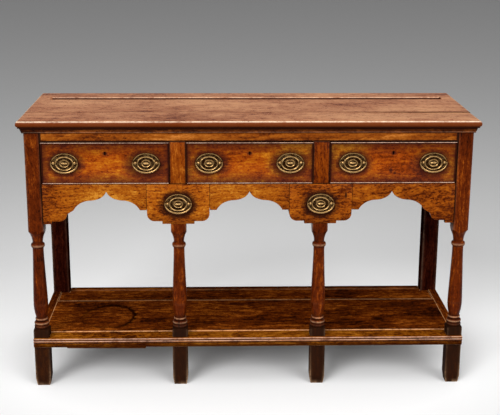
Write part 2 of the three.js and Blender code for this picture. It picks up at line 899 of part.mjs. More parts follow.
// The front: bead, keyhole, bolt holes, a bed for the lock's flange and sockets for the tails.
function longFront() {
  const blank = board([-longHalf, 0, longFrontFloor], [longHalf, frontThickness, longFrontTop]);
  const sockets = dovetails(longSideInner - dovetail.gap, longHalf + overrun, dovetail.gap);
  const holes = [-handleOffset, handleOffset].flatMap((x) => {
    return boltHoles(x, longFrontMiddle, frontThickness);
  });
  const bed = board(
    [-lock.width / 2 - seat, frontThickness - lock.flange - seat, longFrontTop - lock.flangeHeight - seat],
    [lock.width / 2 + seat, frontThickness + overrun, longFrontTop + overrun],
  );
  const cutters = [...sockets, ...sockets.map(mirrored), ...holes, bed, keyholeCutter()];
  return cut(join(blank, cockBead()), ...cutters);
}

// The box behind a front: dovetailed sides, a back let down between them and a raised bottom.
function longBox() {
  const front = frontThickness + seat;
  const bottomFloor = longFrontFloor + drawerBottomRaise;
  const side = board([longSideInner, front, longFrontFloor], [longHalf, drawerDepth, longSideTop]);
  const right = join(side, ...dovetails(longSideInner, longHalf));
  const back = board(
    [-longHalf + weld, drawerDepth - drawerWall, bottomFloor],
    [longHalf - weld, drawerDepth, longSideTop - drawerBackDrop],
  );
  const bottom = board(
    [-longSideInner - weld, front, bottomFloor],
    [longSideInner + weld, drawerDepth, bottomFloor + drawerBottom],
  );
  return join(right, mirrored(right), back, bottom);
}

// A lock: case, a flange let into the top of the front, and a pin in the key's bore.
function drawerLock() {
  const half = lock.width / 2;
  const face = frontThickness + seat;
  const back = face + lock.depth;
  const middle = longFrontMiddle + keyhole.rise;
  const body = board([-half, face, longFrontTop - lock.height], [half, back, longFrontTop]);
  const flange = board(
    [-half, frontThickness - lock.flange, longFrontTop - lock.flangeHeight],
    [half, back, longFrontTop],
  );
  const boreBack = back - lock.flangeHeight;
  const bore = new THREE.CylinderGeometry(lock.bore, lock.bore, 2 * (boreBack - face), 2 * boltFacets)
    .translate(0, face, middle);
  const post = new THREE.CylinderGeometry(lock.pin, lock.pin, back - face, boltFacets)
    .translate(0, (back + face) / 2, middle);
  return join(cut(join(body, flange), bore), post);
}

const longForms = {
  front: longFront(),
  box: longBox(),
  lock: drawerLock(),
  plate: handlePlate(frontThickness),
};

function longDrawer(name, x) {
  return placed(
    x,
    0,
    0,
    piece(name + "_front", longForms.front, oakFront),
    piece(name + "_box", longForms.box, oakInside),
    piece(name + "_lock", longForms.lock, iron),
    handle(name + "_handle_left", -handleOffset, longFrontMiddle, longForms.plate),
    handle(name + "_handle_right", handleOffset, longFrontMiddle, longForms.plate),
  );
}

// Spice drawers, each with its origin at the middle of its pier

const spiceHalf = housingWidth / 2 - housingWall - slideGap;
const spiceFloor = housingFloor + housingWall + footGap;
const spiceSideTop = openingFloor - runnerThickness - spiceHeadGap;

// The front is the pier of the apron itself, from one arch's step to the next.
function spiceFront() {
  const left = placeEdge(pierEdge(), -middleLegX, 1, frontGap);
  const right = placeEdge(pierEdge(), middleLegX, -1, frontGap).reverse();
  const half = spiceFrontWidth / 2 - frontGap;
  const top = openingFloor - frontGap;
  const outline = [new THREE.Vector2(-half, top), ...left, ...right, new THREE.Vector2(half, top)];
  const blank = frontSlab(new THREE.Shape(outline), 0, apronThickness);
  const groove = board(
    [spiceHalf - spiceWall - seat, apronThickness - spiceGroove, spiceFloor - seat],
    [spiceHalf + seat, apronThickness + overrun, spiceSideTop + seat],
  );
  return cut(blank, groove, mirrored(groove), ...boltHoles(0, spiceFrontMiddle, apronThickness));
}

function spiceBox() {
  const front = apronThickness + seat;
  const tongue = apronThickness - spiceGroove + seat;
  const bottomFloor = spiceFloor + spiceBottomRaise;
  const side = board([spiceHalf - spiceWall, tongue, spiceFloor], [spiceHalf, spiceDepth, spiceSideTop]);
  const back = board(
    [-spiceHalf + weld, spiceDepth - spiceWall, bottomFloor],
    [spiceHalf - weld, spiceDepth, spiceSideTop - drawerBackDrop],
  );
  const bottom = board(
    [-spiceHalf + spiceWall - weld, front, bottomFloor],
    [spiceHalf - spiceWall + weld, spiceDepth, bottomFloor + spiceBottom],
  );
  return join(side, mirrored(side), back, bottom);
}

const spiceForms = {
  front: spiceFront(),
  box: spiceBox(),
  plate: handlePlate(apronThickness),
};

function spiceDrawer(name, x) {
  return placed(
    x,
    0,
    0,
    piece(name + "_front", spiceForms.front, oakFront),
    piece(name + "_box", spiceForms.box, oakInside),
    handle(name + "_handle", 0, spiceFrontMiddle, spiceForms.plate),
  );
}

// Assembly

function top() {
  return placed(
    0,
    0,
    0,
    piece("top_board_front", topFront(), oakTop),
    piece("top_board_back", topBack(), oakTop),
    piece("cornice_front", corniceFront(), oakFrame),
    ...pair("cornice", corniceSide(), oakFrame),
  );
}

function frame() {
  return placed(
    0,
    0,
    0,
    ...pair("corner_leg", frontLeg(halfWidth - legSquare / 2, topUnderside - seat), oakLeg),
    ...pair("mid_leg", middleLeg(), oakLeg),
    ...pair("rear_post", rearPost(), oakLeg),
    piece("top_rail", topRail(), oakFrame),
    ...pair("muntin", muntin(), oakFrame),
    piece("drawer_rail", drawerRail(), oakFrame),
    piece("apron_centre", apronCentre(), oakFront),
    ...pair("apron", apronEnd(), oakFront),
    ...pair("end_panel", endPanel(), oakFrame),
    piece("back_panel", backPanel(), oakInside),
    ...pair("runner", endRunner(), oakInside),
    ...pair("spice_housing", spiceHousing(), oakInside),
  );
}

function potBoard() {
  return placed(
    0,
    0,
    0,
    piece("pot_rail_front", potFrontRail(), oakPot),
    ...pair("pot_rail", potSideRail(), oakPot),
    piece("pot_rail_back", potBackRailBoard(), oakPot),
    piece("pot_board_main", potMainBoard(), oakPot),
    piece("pot_board_back", potBackBoard(), oakPot),
  );
}

// The footprint runs from the nosing of the top to the top's back edge.
const footprintMiddle = (carcaseDepth + topBackOverhang - topOverhang) / 2;

export default placed(
  0,
  -footprintMiddle,
  0,
  top(),
  frame(),
  potBoard(),
  longDrawer("drawer_left", -bayPitch),
  longDrawer("drawer_centre", 0),
  longDrawer("drawer_right", bayPitch),
  spiceDrawer("spice_drawer_left", -middleLegX),
  spiceDrawer("spice_drawer_right", middleLegX),
);
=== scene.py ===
"""A low oak dresser base dressed round its fixed frame: boards with eased arrises, turned legs,
a shaped apron, beaded drawers and oval brass handles, in waxed oak."""

import math
import zlib
from contextlib import contextmanager
from functools import cache

import bmesh
import bpy
import numpy as np
from mathutils import Matrix, Vector


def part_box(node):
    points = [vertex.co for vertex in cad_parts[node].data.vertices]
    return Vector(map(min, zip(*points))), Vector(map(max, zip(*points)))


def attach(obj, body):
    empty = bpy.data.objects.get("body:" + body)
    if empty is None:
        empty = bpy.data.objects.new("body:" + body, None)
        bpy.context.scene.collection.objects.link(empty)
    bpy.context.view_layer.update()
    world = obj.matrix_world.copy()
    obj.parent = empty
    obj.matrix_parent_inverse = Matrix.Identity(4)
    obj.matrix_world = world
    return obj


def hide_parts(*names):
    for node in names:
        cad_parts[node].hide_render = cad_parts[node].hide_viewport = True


bl_info = {
    "name": "Dresser base",
    "version": (1, 0, 0),
    "blender": (4, 5, 0),
    "location": "3D View > Sidebar > Dresser",
    "description": "Makes the oak boards, turned legs, drawers and brass handles of a dresser base",
    "category": "Object",
}

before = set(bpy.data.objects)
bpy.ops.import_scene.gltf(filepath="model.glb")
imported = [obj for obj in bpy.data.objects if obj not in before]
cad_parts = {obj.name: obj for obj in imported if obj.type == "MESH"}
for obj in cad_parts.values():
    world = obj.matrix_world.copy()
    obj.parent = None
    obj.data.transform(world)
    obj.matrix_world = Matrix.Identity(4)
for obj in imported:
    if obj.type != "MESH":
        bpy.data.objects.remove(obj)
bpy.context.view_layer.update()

MM = 0.001

# Where the frame's own pieces are, in metres
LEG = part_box("corner_leg_right")
MID_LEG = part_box("mid_leg_right")
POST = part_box("rear_post_right")
TOP_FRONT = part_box("top_board_front")
TOP_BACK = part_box("top_board_back")
POT_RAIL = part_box("pot_rail_front")
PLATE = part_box("drawer_centre_handle_right_plate")
FACE = LEG[0][1]  # the front face of the legs
LEG_SIDE = LEG[1][0] - LEG[0][0]
PIER_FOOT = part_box("spice_drawer_right_front")[0][2]
MID_X = (MID_LEG[0][0] + MID_LEG[1][0]) / 2
PIER_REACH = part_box("apron_centre")[1][0]
HANDLE_OFFSET = (PLATE[0][0] + PLATE[1][0]) / 2

SEAT = 0.3 * MM  # between pieces that rest on each other
WELD = 0.005 * MM  # points nearer to each other than this become one
FRAME_WELD = 0.02 * MM  # the same for the frame's own meshes
FLAT = math.radians(0.5)  # faces that turn less than this against each other become one
PROUD = 0.2 * MM  # what stands further than this before the face of the legs is a moulding
HAIR = 0.05 * MM  # a sharp step in a leg has a ring of points this far above and below it
RAIL_HOUSING = 15 * MM  # how deep the legs are cut for the front rail of the pot board
PIER_HOUSING = 18.6 * MM  # how deep the middle legs are cut for a pier
LOW_RINGS = 230 * MM  # the rings above the block of a leg are below this height

# The groove of the top, which plates stand in
GROOVE_REACH = 645 * MM  # to its stopped ends
GROOVE_MIDDLE = FACE + 382 * MM
GROOVE_DEPTH = 10 * MM
GROOVE_STOP = 4 * MM  # how far it takes to run out at an end
JOINT_SINK = 2.5 * MM  # of the front board of the top, at the right end of its rear edge
SINK_START, SINK_RUN = 250 * MM, 250 * MM  # where it begins to grow and how far on it is full
SINK_LEFT_SHARE = 0.15  # of it, to the left of its start
SINK_WIDTH = 140 * MM  # from the rear edge
SINK_ROWS = (15, 30, 50, 75, 105)  # of points before the rear edge, in millimetres

# Handles, in millimetres
BOLT_OFFSET = 31.5  # from the plate's middle to each of its bolts
BOLT_RISE = 3.0  # of the bolts over the plate's middle
BOLT_HEAD = 4.8  # radius
BOLT_SHANK = 2.5
BOLT_NECK = 0.669  # in radians: how far a bolt's round head goes on behind its widest place
SHANK_START = -4.7  # depth at which a bolt's shank begins, behind its head
NUT_RADIUS = 5.0
NUT_HEIGHT = 3.0
PIN_STAND = 7.8  # of a bail's pins before the face
BOSS_HEIGHT = 3.6

# Paler round the first two arches, and darker to the right with painted shade, from places in
# millimetres and ages
APRON_AGES_AND_SHADE = (
    (-600, 0.6), (-440, -0.35), (-200, 0.35), (-60, -0.4), (160, 0.65), (600, 0.7),
)
# The pot board darkens to the right with painted shade
POT_BOARD_AGES_AND_SHADE = ((-600, -0.1), (0, 0.1), (600, 0.5))

# Strips of painted highlight or painted shade along the pot board's boards: from the near edge
# (0) or the far one (1), the strip's two distances in millimetres, and what it has
PAINTED_LIGHT_STRIPS = {
    "pot_board_main": ((1, -12, 0, "wear", 0.4),),
    "pot_board_back": (
        (0, 0, 14, "dirt", 0.85),
        (1, -14, 0, "dirt", 0.7),
        (1, -40, -26, "wear", 0.15),
    ),
}

BOX_ARRIS = 0.8 * MM
LOCK_ARRIS = 0.3 * MM
BEAD_ARRIS = 0.4 * MM

SIDES = (("left", -1), ("right", 1))
LONG_DRAWERS = ("drawer_left", "drawer_centre", "drawer_right")
SPICE_DRAWERS = ("spice_drawer_left", "spice_drawer_right")


# Meshes


def clamp(value, low=0.0, high=1.0):
    """The value, or the limit that it lies beyond."""
    return max(low, min(high, value))


def circle(count):
    """The cosine and sine of each of the directions that part a circle evenly."""
    angles = [2 * math.pi * i / count for i in range(count)]
    return [(math.cos(a), math.sin(a)) for a in angles]


def band(a, b, count):
    """Faces between two closed rings of points, whose first points have these numbers."""
    return [(a + i, a + (i + 1) % count, b + (i + 1) % count, b + i) for i in range(count)]


@contextmanager
def reworked(mesh, source=None):
    """A mesh, or a copy of its source, open for cutting; the result goes back to the mesh."""
    work = bmesh.new()
    work.from_mesh(source or mesh)
    yield work
    work.to_mesh(mesh)
    work.free()


def put(name, mesh, kind, node, body="carcase", axis="x", sharp=32, age=0.0):
    """Puts a mesh in the scene as a piece that rides on a body and stands for a node of the frame."""
    mesh.name = name
    write_grain(mesh, name, axis)
    if "age" not in mesh.attributes:
        write_amount(mesh, "age", [age] * len(mesh.vertices))
    mesh.polygons.foreach_set("use_smooth", [True] * len(mesh.polygons))
    mesh.set_sharp_from_angle(angle=math.radians(sharp))
    mesh.materials.clear()
    mesh.materials.append(finish(kind))
    piece = bpy.data.objects.new(name, mesh)
    bpy.context.scene.collection.objects.link(piece)
    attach(piece, body)
    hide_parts(node)


def write_grain(mesh, name, axis):
    """Writes each point's place along the grain, and its place in the box of its own board."""
    order = {"x": (0, 1, 2), "y": (1, 0, 2), "z": (2, 0, 1)}[axis]
    points = np.empty(len(mesh.vertices) * 3, dtype=np.float32)
    mesh.vertices.foreach_get("co", points)
    points = points.reshape(-1, 3)
    low, high = points.min(axis=0), points.max(axis=0)
    middle = (low + high) / 2
    # Each board lies somewhere else in the pattern, so that no two are alike
    shift = np.random.default_rng(zlib.crc32(name.encode())).uniform(-9, 9, 3)
    values = {
        "grain": points[:, order] + shift,
        "middle": points - middle,
        "half": np.tile(high - middle, (len(points), 1)),
    }
    for label, vectors in values.items():
        attribute = mesh.attributes.new(label, "FLOAT_VECTOR", "POINT")
        attribute.data.foreach_set("vector", vectors.astype(np.float32).ravel())


def write_amount(mesh, label, amounts, domain="POINT"):
    """Writes one number at each point or face: rubbed pale and painted highlight from 0 to 1,
    old wax and painted shade up to 2, or darkening with years and painted shade.
    """
    attribute = mesh.attributes.new(label, "FLOAT", domain)
    attribute.data.foreach_set("value", np.asarray(amounts, dtype=np.float32))


def eased_copy(node, width, wear=0.35, proud=0.8, least=40, joints=False):
    """A copy of a frame node's mesh with whole flat faces and eased arrises, rubbed pale with a
    painted highlight. Mouldings that stand proud of the face of the legs have a painted highlight
    above and painted shade below. The edges that face a neighbour across a joint can be dark with
    painted shadow."""
    mesh = bpy.data.meshes.new(node)
    with reworked(mesh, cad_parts[node].data) as work:
        bmesh.ops.remove_doubles(work, verts=work.verts, dist=FRAME_WELD)
        bmesh.ops.dissolve_limit(work, angle_limit=FLAT, verts=work.verts, edges=work.edges)
        worn = work.faces.layers.float.new("wear")
        dark = work.faces.layers.float.new("dirt")
        for face in work.faces:
            normal = face.normal
            # A moulding's faces that look up get a painted highlight, those that look down painted
            # shade
            if face.calc_center_median().y < FACE - PROUD and normal.y < -0.1:
                face[worn] = proud * clamp(3.0 * normal.z - 0.7)
                face[dark] = proud * clamp(0.9 - 2.5 * normal.z, high=0.9)
                # Painted shadow in the gaps, nearly black at a bead's ends and underside
                if joints and (abs(normal.x) > 0.5 or normal.z < -0.5):
                    face[dark] = 1.6
            # Faces across a joint are dark with painted shadow
            elif joints and abs(normal.y) < 0.3:
                face[dark] = 1.0
        ease(work, width, wear, least)
    return mesh


def ease(work, width, wear, least=40, test=None):
    """Rounds the arrises of a mesh in the making and marks them as rubbed pale, which also paints
    a highlight on them.
    """
    sharp = [
        edge
        for edge in work.edges
        if edge.calc_face_angle(0) > math.radians(least) and (test is None or test(edge))
    ]
    made = bmesh.ops.bevel(
        work,
        geom=sharp,
        offset=width,
        segments=2,
        profile=0.5,
        affect="EDGES",
        clamp_overlap=True,
    )
    worn = work.faces.layers.float["wear"]
    for face in made["faces"]:
        face[worn] = max(face[worn], wear)
    bmesh.ops.triangulate(work, faces=[f for f in work.faces if len(f.verts) > 4])


def mesh_from(points, faces, domain="POINT", **amounts):
    """A closed mesh from points and faces, with a number at each of them for each named amount."""
    mesh = bpy.data.meshes.new("piece")
    mesh.from_pydata(points, [], faces)
    for label, values in amounts.items():
        write_amount(mesh, label, values, domain)
    with reworked(mesh) as work:
        bmesh.ops.remove_doubles(work, verts=work.verts, dist=WELD)
        bmesh.ops.recalc_face_normals(work, faces=work.faces)
    return mesh


def rings_to_mesh(rings, **amounts):
    """Joins rings of equally many points, each ring closed, into a skin with two end faces."""
    count = len(rings[0])
    last = (len(rings) - 1) * count
    faces = []
    for first in range(0, last, count):
        faces += band(first, first + count, count)
    faces.append(tuple(reversed(range(count))))
    faces.append(tuple(range(last, last + count)))
    return mesh_from([tuple(p) for ring in rings for p in ring], faces, **amounts)


def slab_from(outline, front, back, width):
    """An outline in x and z carried from front to back, with its front and back arrises eased.
    Its upright edges, which meet a neighbour, are dark with painted shadow."""
    mesh = bpy.data.meshes.new("piece")
    with reworked(mesh) as work:
        work.faces.layers.float.new("wear")
        dark = work.faces.layers.float.new("dirt")
        near = [work.verts.new((x, front, z)) for x, z in outline]
        far = [work.verts.new((x, back, z)) for x, z in outline]
        work.faces.new(near)
        work.faces.new(list(reversed(far)))
        for i in range(len(outline)):
            j = (i + 1) % len(outline)
            work.faces.new((near[i], far[i], far[j], near[j]))
        bmesh.ops.recalc_face_normals(work, faces=work.faces)
        for face in work.faces:
            # Painted shadow on the upright edges, in the joints
            if abs(face.normal.x) > 0.999:
                face[dark] = 1.0
        ease(work, width, 0.0, test=lambda edge: abs(edge.verts[0].co.y - edge.verts[1].co.y) < MM)
    return mesh


def bezier(start, bend, end, steps):
    """Points of a quadratic curve, its start left out."""
    points = []
    for i in range(1, steps + 1):
        t = i / steps
        shares = ((1 - t) ** 2, 2 * t * (1 - t), t * t)
        points.append(tuple(sum(s * v for s, v in zip(shares, p)) for p in zip(start, bend, end)))
    return points


# Materials


def linear(code):
    """The linear colour of an sRGB hex value."""
    parts = [int(code[i : i + 2], 16) / 255 for i in (1, 3, 5)]
    return tuple(p / 12.92 if p <= 0.04045 else ((p + 0.055) / 1.055) ** 2.4 for p in parts)


def add(tree, kind, *values, out=0, inputs=None, **settings):
    """Adds a node with its settings, sets or links its inputs in order or by name, and gives its
    numbered output, or the node itself."""
    node = tree.nodes.new("ShaderNode" + kind)
    for key, value in settings.items():
        setattr(node, key, value)
    for key, value in [*enumerate(values), *(inputs or {}).items()]:
        socket = node.inputs[key]
        if isinstance(value, bpy.types.NodeSocket):
            tree.links.new(value, socket)
        elif socket.type == "RGBA":
            socket.default_value = (*value, 1)
        else:
            socket.default_value = value
    return node if out is None else node.outputs[out]


def new_material(name):
    """An empty material and its tree of nodes."""
    material = bpy.data.materials.new(name)
    material.use_nodes = True
    material.node_tree.nodes.clear()
    return material, material.node_tree


def pattern(tree, place, along, across, detail, roughness=0.6, out=0):
    """An uneven pattern whose largest features are this long and wide, in millimetres."""
    scale = (1 / (along * MM), 1 / (across * MM), 1 / (across * MM))
    place = add(tree, "Mapping", inputs={"Vector": place, "Scale": scale})
    inputs = {"Vector": place, "Scale": 1.0, "Detail": detail, "Roughness": roughness}
    return add(tree, "TexNoise", out=out, inputs=inputs)


def near_arris(tree, inner):
    """Distance to the nearest arris of a board: the middle one of the distances to its sides."""
    half = add(tree, "Attribute", attribute_name="half", out=1)
    beside = add(tree, "VectorMath", inner, operation="ABSOLUTE")
    inset = add(tree, "VectorMath", half, beside, operation="SUBTRACT")
    inset = add(tree, "SeparateXYZ", inset, out=None).outputs
    near = add(tree, "Math", inset[0], inset[1], operation="MINIMUM")
    far = add(tree, "Math", inset[0], inset[1], operation="MAXIMUM")
    far = add(tree, "Math", far, inset[2], operation="MINIMUM")
    return add(tree, "Math", near, far, operation="MAXIMUM")


def oak_patterns(tree, place):
    """The growth rings, streaks, mottling, stains and pores of oak."""
    # The grain wanders sideways by a few millimetres over a hand's length
    drift = pattern(tree, place, 400, 120, 2, out=1)
    wander = add(tree, "VectorMath", drift, (0.0, 0.06, 0.06), place, operation="MULTIPLY_ADD")

    # Growth rings 10 mm apart, cut on the slant so that they run out in long arches
    slant = add(tree, "Mapping", inputs={"Vector": wander, "Rotation": (0.0, 0.06, 0.04)})
    rings = add(
        tree,
        "TexWave",
        out=1,
        wave_type="RINGS",
        rings_direction="X",
        wave_profile="SAW",
        inputs={"Vector": slant, "Scale": 31.0, "Distortion": 3.0, "Detail": 3.0},
    )
    streaks = pattern(tree, wander, 90, 9, 4, 0.8)
    mottling = pattern(tree, place, 36, 24, 5, 0.95)
    stains = pattern(tree, place, 260, 130, 4, 0.55)
    # Pores are 0.3 mm wide in oak, too fine to show; these are 2 mm wide and 6 mm long
    pores = add(tree, "MapRange", pattern(tree, wander, 10, 4, 2, 0.6), 0.53, 0.64)
    return rings, streaks, mottling, stains, pores


def ring_mark(tree, inner, ragged, centre, size):
    """The mark of a pot that stood on a board, darker towards its back and right."""
    away = add(tree, "VectorMath", inner, centre, operation="SUBTRACT")
    away = add(tree, "VectorMath", away, (*(1 / s for s in size), 0.0), operation="MULTIPLY")
    lean = add(tree, "VectorMath", away, (0.8, 0.6, 0.0), operation="DOT_PRODUCT", out=1)
    lean = add(tree, "MapRange", lean, -0.9, 0.3, 0.3, 1.0)
    away = add(tree, "VectorMath", away, operation="LENGTH", out=1)
    away = add(tree, "Math", ragged, 0.7, away, operation="MULTIPLY_ADD")
    away = add(tree, "Math", away, 1.0, operation="SUBTRACT")
    away = add(tree, "Math", away, operation="ABSOLUTE")
    mark = add(tree, "MapRange", away, 0.04, 0.13, 0.95, 0.0, interpolation_type="SMOOTHSTEP")
    return add(tree, "Math", mark, lean, operation="MULTIPLY")


def wax_and_painted_shade(tree, mottling, border, seam, quirk, spots, ring):
    """How dark old wax and painted shade make a board, from 0 to 1 and up to 2 where the painted
    shade is deepest: old wax and painted shade in corners and hollows, painted shadow along the
    joints, and old wax towards the arrises, round the handles and where a pot stood."""
    shade = add(tree, "Attribute", attribute_name="dirt", out=2)
    inner = add(tree, "Attribute", attribute_name="middle", out=1)
    ragged = add(tree, "Math", mottling, 0.5, operation="SUBTRACT")
    marks = []
    if border or seam:
        edge = near_arris(tree, inner)
        # Old wax towards the arrises, and painted shadow along the joints over the last millimetres
        for reach, strength, uneven in ((0.042, border, 0.03), (quirk, seam, 0.006)):
            grime_and_shade = add(tree, "Math", ragged, uneven, edge, operation="MULTIPLY_ADD")
            marks.append(add(tree, "MapRange", grime_and_shade, 0.7 * quirk, reach, strength, 0.0))
    for centre, stretch, near, far, strength in spots:
        away = add(tree, "VectorMath", inner, centre, operation="SUBTRACT")
        away = add(tree, "VectorMath", away, stretch, operation="MULTIPLY")
        away = add(tree, "VectorMath", away, operation="LENGTH", out=1)
        away = add(tree, "Math", ragged, near, away, operation="MULTIPLY_ADD")
        spot = add(tree, "MapRange", away, near, far, strength, 0.0, interpolation_type="SMOOTHSTEP")
        marks.append(spot)
    if ring:
        marks.append(ring_mark(tree, inner, ragged, *ring))
    for mark in marks:
        shade = add(tree, "Math", shade, mark, operation="MAXIMUM")
    return shade


def oak(
    name, tones, gloss=0.3, shine=0.05, streak=0.5, mottle=0.7, stain=0.35, flecks=0.08,
    border=0.0, seam=0.0, quirk=0.005, spots=(), ring=None, soil_and_shade="#260a03", bare_and_highlight="#c8a084",
):
    """Waxed oak. Tones run from dark to light. Sawn and scraped by hand and waxed for two hundred
    years, it shows streaks of grain, short dark pores, a fine mottling where wax has filled it,
    stains, dark wax and painted shade in the corners and hollows, painted shadow in the joints,
    and pale rubbed arrises that also carry painted highlights."""
    material, tree = new_material(name)
    place = add(tree, "Attribute", attribute_name="grain", out=1)
    rings, streaks, mottling, stains, pores = oak_patterns(tree, place)

    tone = add(tree, "Math", rings, 0.16 * streak, operation="MULTIPLY")
    for part, weight in ((streaks, streak), (mottling, mottle), (stains, stain), (pores, -flecks)):
        tone = add(tree, "Math", part, weight, tone, operation="MULTIPLY_ADD")
    # Some pieces are darker than others, with years and with painted shade towards the right
    age = add(tree, "Attribute", attribute_name="age", out=2)
    tone = add(tree, "Math", age, -0.12, tone, operation="MULTIPLY_ADD")
    centre = 0.58 * streak + 0.5 * (mottle + stain) - 0.2 * flecks
    tone = add(tree, "MapRange", tone, centre - 0.12, centre + 0.12)
    colours = add(tree, "ValToRGB", tone, out=None)
    stops = colours.color_ramp.elements
    for _ in tones[2:]:
        stops.new(0.5)
    for number, code in enumerate(tones):
        stops[number].position = number / (len(tones) - 1)
        stops[number].color = (*linear(code), 1)
    colour = colours.outputs[0]

    # Dark wax and painted shade, nearly black where the painted shade is deepest, and then pale
    # rubbed arrises and painted highlights, broken by the mottling
    shade = wax_and_painted_shade(tree, mottling, border, seam, quirk, spots, ring)
    deep_painted_shade = add(tree, "MapRange", shade, 1.0, 2.0)
    wear = add(tree, "Attribute", attribute_name="wear", out=2)
    broken = add(tree, "MapRange", mottling, 0.4, 0.54, 0.3, 1.0)
    wear = add(tree, "Math", wear, broken, operation="MULTIPLY")
    for amount, code in ((shade, soil_and_shade), (deep_painted_shade, "#1c0904"), (wear, bare_and_highlight)):
        mixed = {0: amount, 6: colour, 7: linear(code)}
        colour = add(tree, "Mix", data_type="RGBA", out=2, inputs=mixed)

    # Pores and streaks stand a little below the polished surface
    height = add(tree, "Math", pores, -0.5, streaks, operation="MULTIPLY_ADD")
    height = add(tree, "Math", mottling, 1.4, height, operation="MULTIPLY_ADD")
    bump = {"Strength": 0.45, "Distance": 0.7 * MM, "Height": height}
    rough = add(tree, "MapRange", mottling, 0.3, 0.7, gloss - 0.08, gloss + 0.08)
    rough = add(tree, "Math", shade, 0.5, rough, operation="MULTIPLY_ADD")
    surface = {
        "Base Color": colour,
        "Roughness": rough,
        "Normal": add(tree, "Bump", inputs=bump),
        "Specular IOR Level": shine,
    }
    add(tree, "OutputMaterial", add(tree, "BsdfPrincipled", inputs=surface), out=None)
    return material


def brass(name, tones):
    """Stamped brass. The ridges are rubbed bright by hands, and the hollows keep brown polish."""
    material, tree = new_material(name)
    place = add(tree, "TexCoord", out=3)
    clouds = pattern(tree, place, 9, 9, 6, 0.7)
    dirt = add(tree, "Attribute", attribute_name="dirt", out=2)
    amount = add(tree, "Math", clouds, 1.3, dirt, operation="MULTIPLY_ADD")
    amount = add(tree, "MapRange", amount, 0.6, 1.4)
    colours = {0: amount, 6: linear(tones[0]), 7: linear(tones[1])}
    bump = {"Strength": 0.3, "Distance": 0.3 * MM, "Height": clouds}
    surface = {
        "Base Color": add(tree, "Mix", data_type="RGBA", out=2, inputs=colours),
        "Metallic": 1.0,
        "Roughness": add(tree, "MapRange", amount, 0.0, 1.0, 0.26, 0.6),
        "Normal": add(tree, "Bump", inputs=bump),
    }
    add(tree, "OutputMaterial", add(tree, "BsdfPrincipled", inputs=surface), out=None)
    return material


def iron(name, tones):
    """Forged iron, dull, with a thin brown bloom of rust."""
    material, tree = new_material(name)
    bloom = pattern(tree, add(tree, "TexCoord", out=3), 6, 6, 6)
    colours = {0: bloom, 6: linear(tones[0]), 7: linear(tones[1])}
    surface = {
        "Base Color": add(tree, "Mix", data_type="RGBA", out=2, inputs=colours),
        "Metallic": 0.8,
        "Roughness": 0.55,
    }
    add(tree, "OutputMaterial", add(tree, "BsdfPrincipled", inputs=surface), out=None)
    return material


# A spot of old wax has its middle in the box of its board, the stretch of each axis, the distances
# at which it is darkest and gone, all in metres, and its strength
OVAL = (0.8, 0.0, 1.0)  # wider than high, and the same at any depth
FRONT_SPOTS = (
    ((HANDLE_OFFSET, 0.0, -0.004), OVAL, 0.035, 0.068, 0.85),
    ((-HANDLE_OFFSET, 0.0, 0.0), OVAL, 0.033, 0.058, 0.85),
    ((0.0, 0.0, 0.0305), OVAL, 0.002, 0.0103, 0.95),  # the keyhole
)
KNOTS = (
    ((-0.006, 0.0, -0.024), (1.0, 0.0, 0.7), 0.002, 0.009, 0.85),
    ((0.006, 0.0, -0.031), (1.0, 0.0, 1.0), 0.002, 0.008, 0.85),
)
PIER_SPOTS = (
    ((0.0, 0.0, -0.002), OVAL, 0.035, 0.055, 0.95),
    ((0.0, 0.0, -0.07), (0.2, 0.0, 1.0), 0.004, 0.055, 0.4),  # along the foot
)
CHECK = (((0.076, 0.0, 0.026), (2.2, 0.0, 0.75), 0.004, 0.012, 0.9),)  # a short crack
PATCH = (((0.425, -0.047, 0.0), (1.0, 1.0, 0.0), 0.006, 0.022, 0.85),)  # a dark stain
POT_RING = ((-0.453, -0.013, 0.0), (0.084, 0.1))  # its middle and its radii

FRONT = dict(
    border=0.8, seam=0.9, quirk=0.008, soil_and_shade="#330f0a", bare_and_highlight="#e0bca4",
    streak=0.25, mottle=0.55, stain=0.45, flecks=0.04,
)
APRON = dict(streak=0.3, mottle=0.5, stain=0.15, flecks=0.09)
POT_BOARD = dict(streak=0.5, mottle=0.6, stain=0.45, shine=0.0, bare_and_highlight="#d89c68")

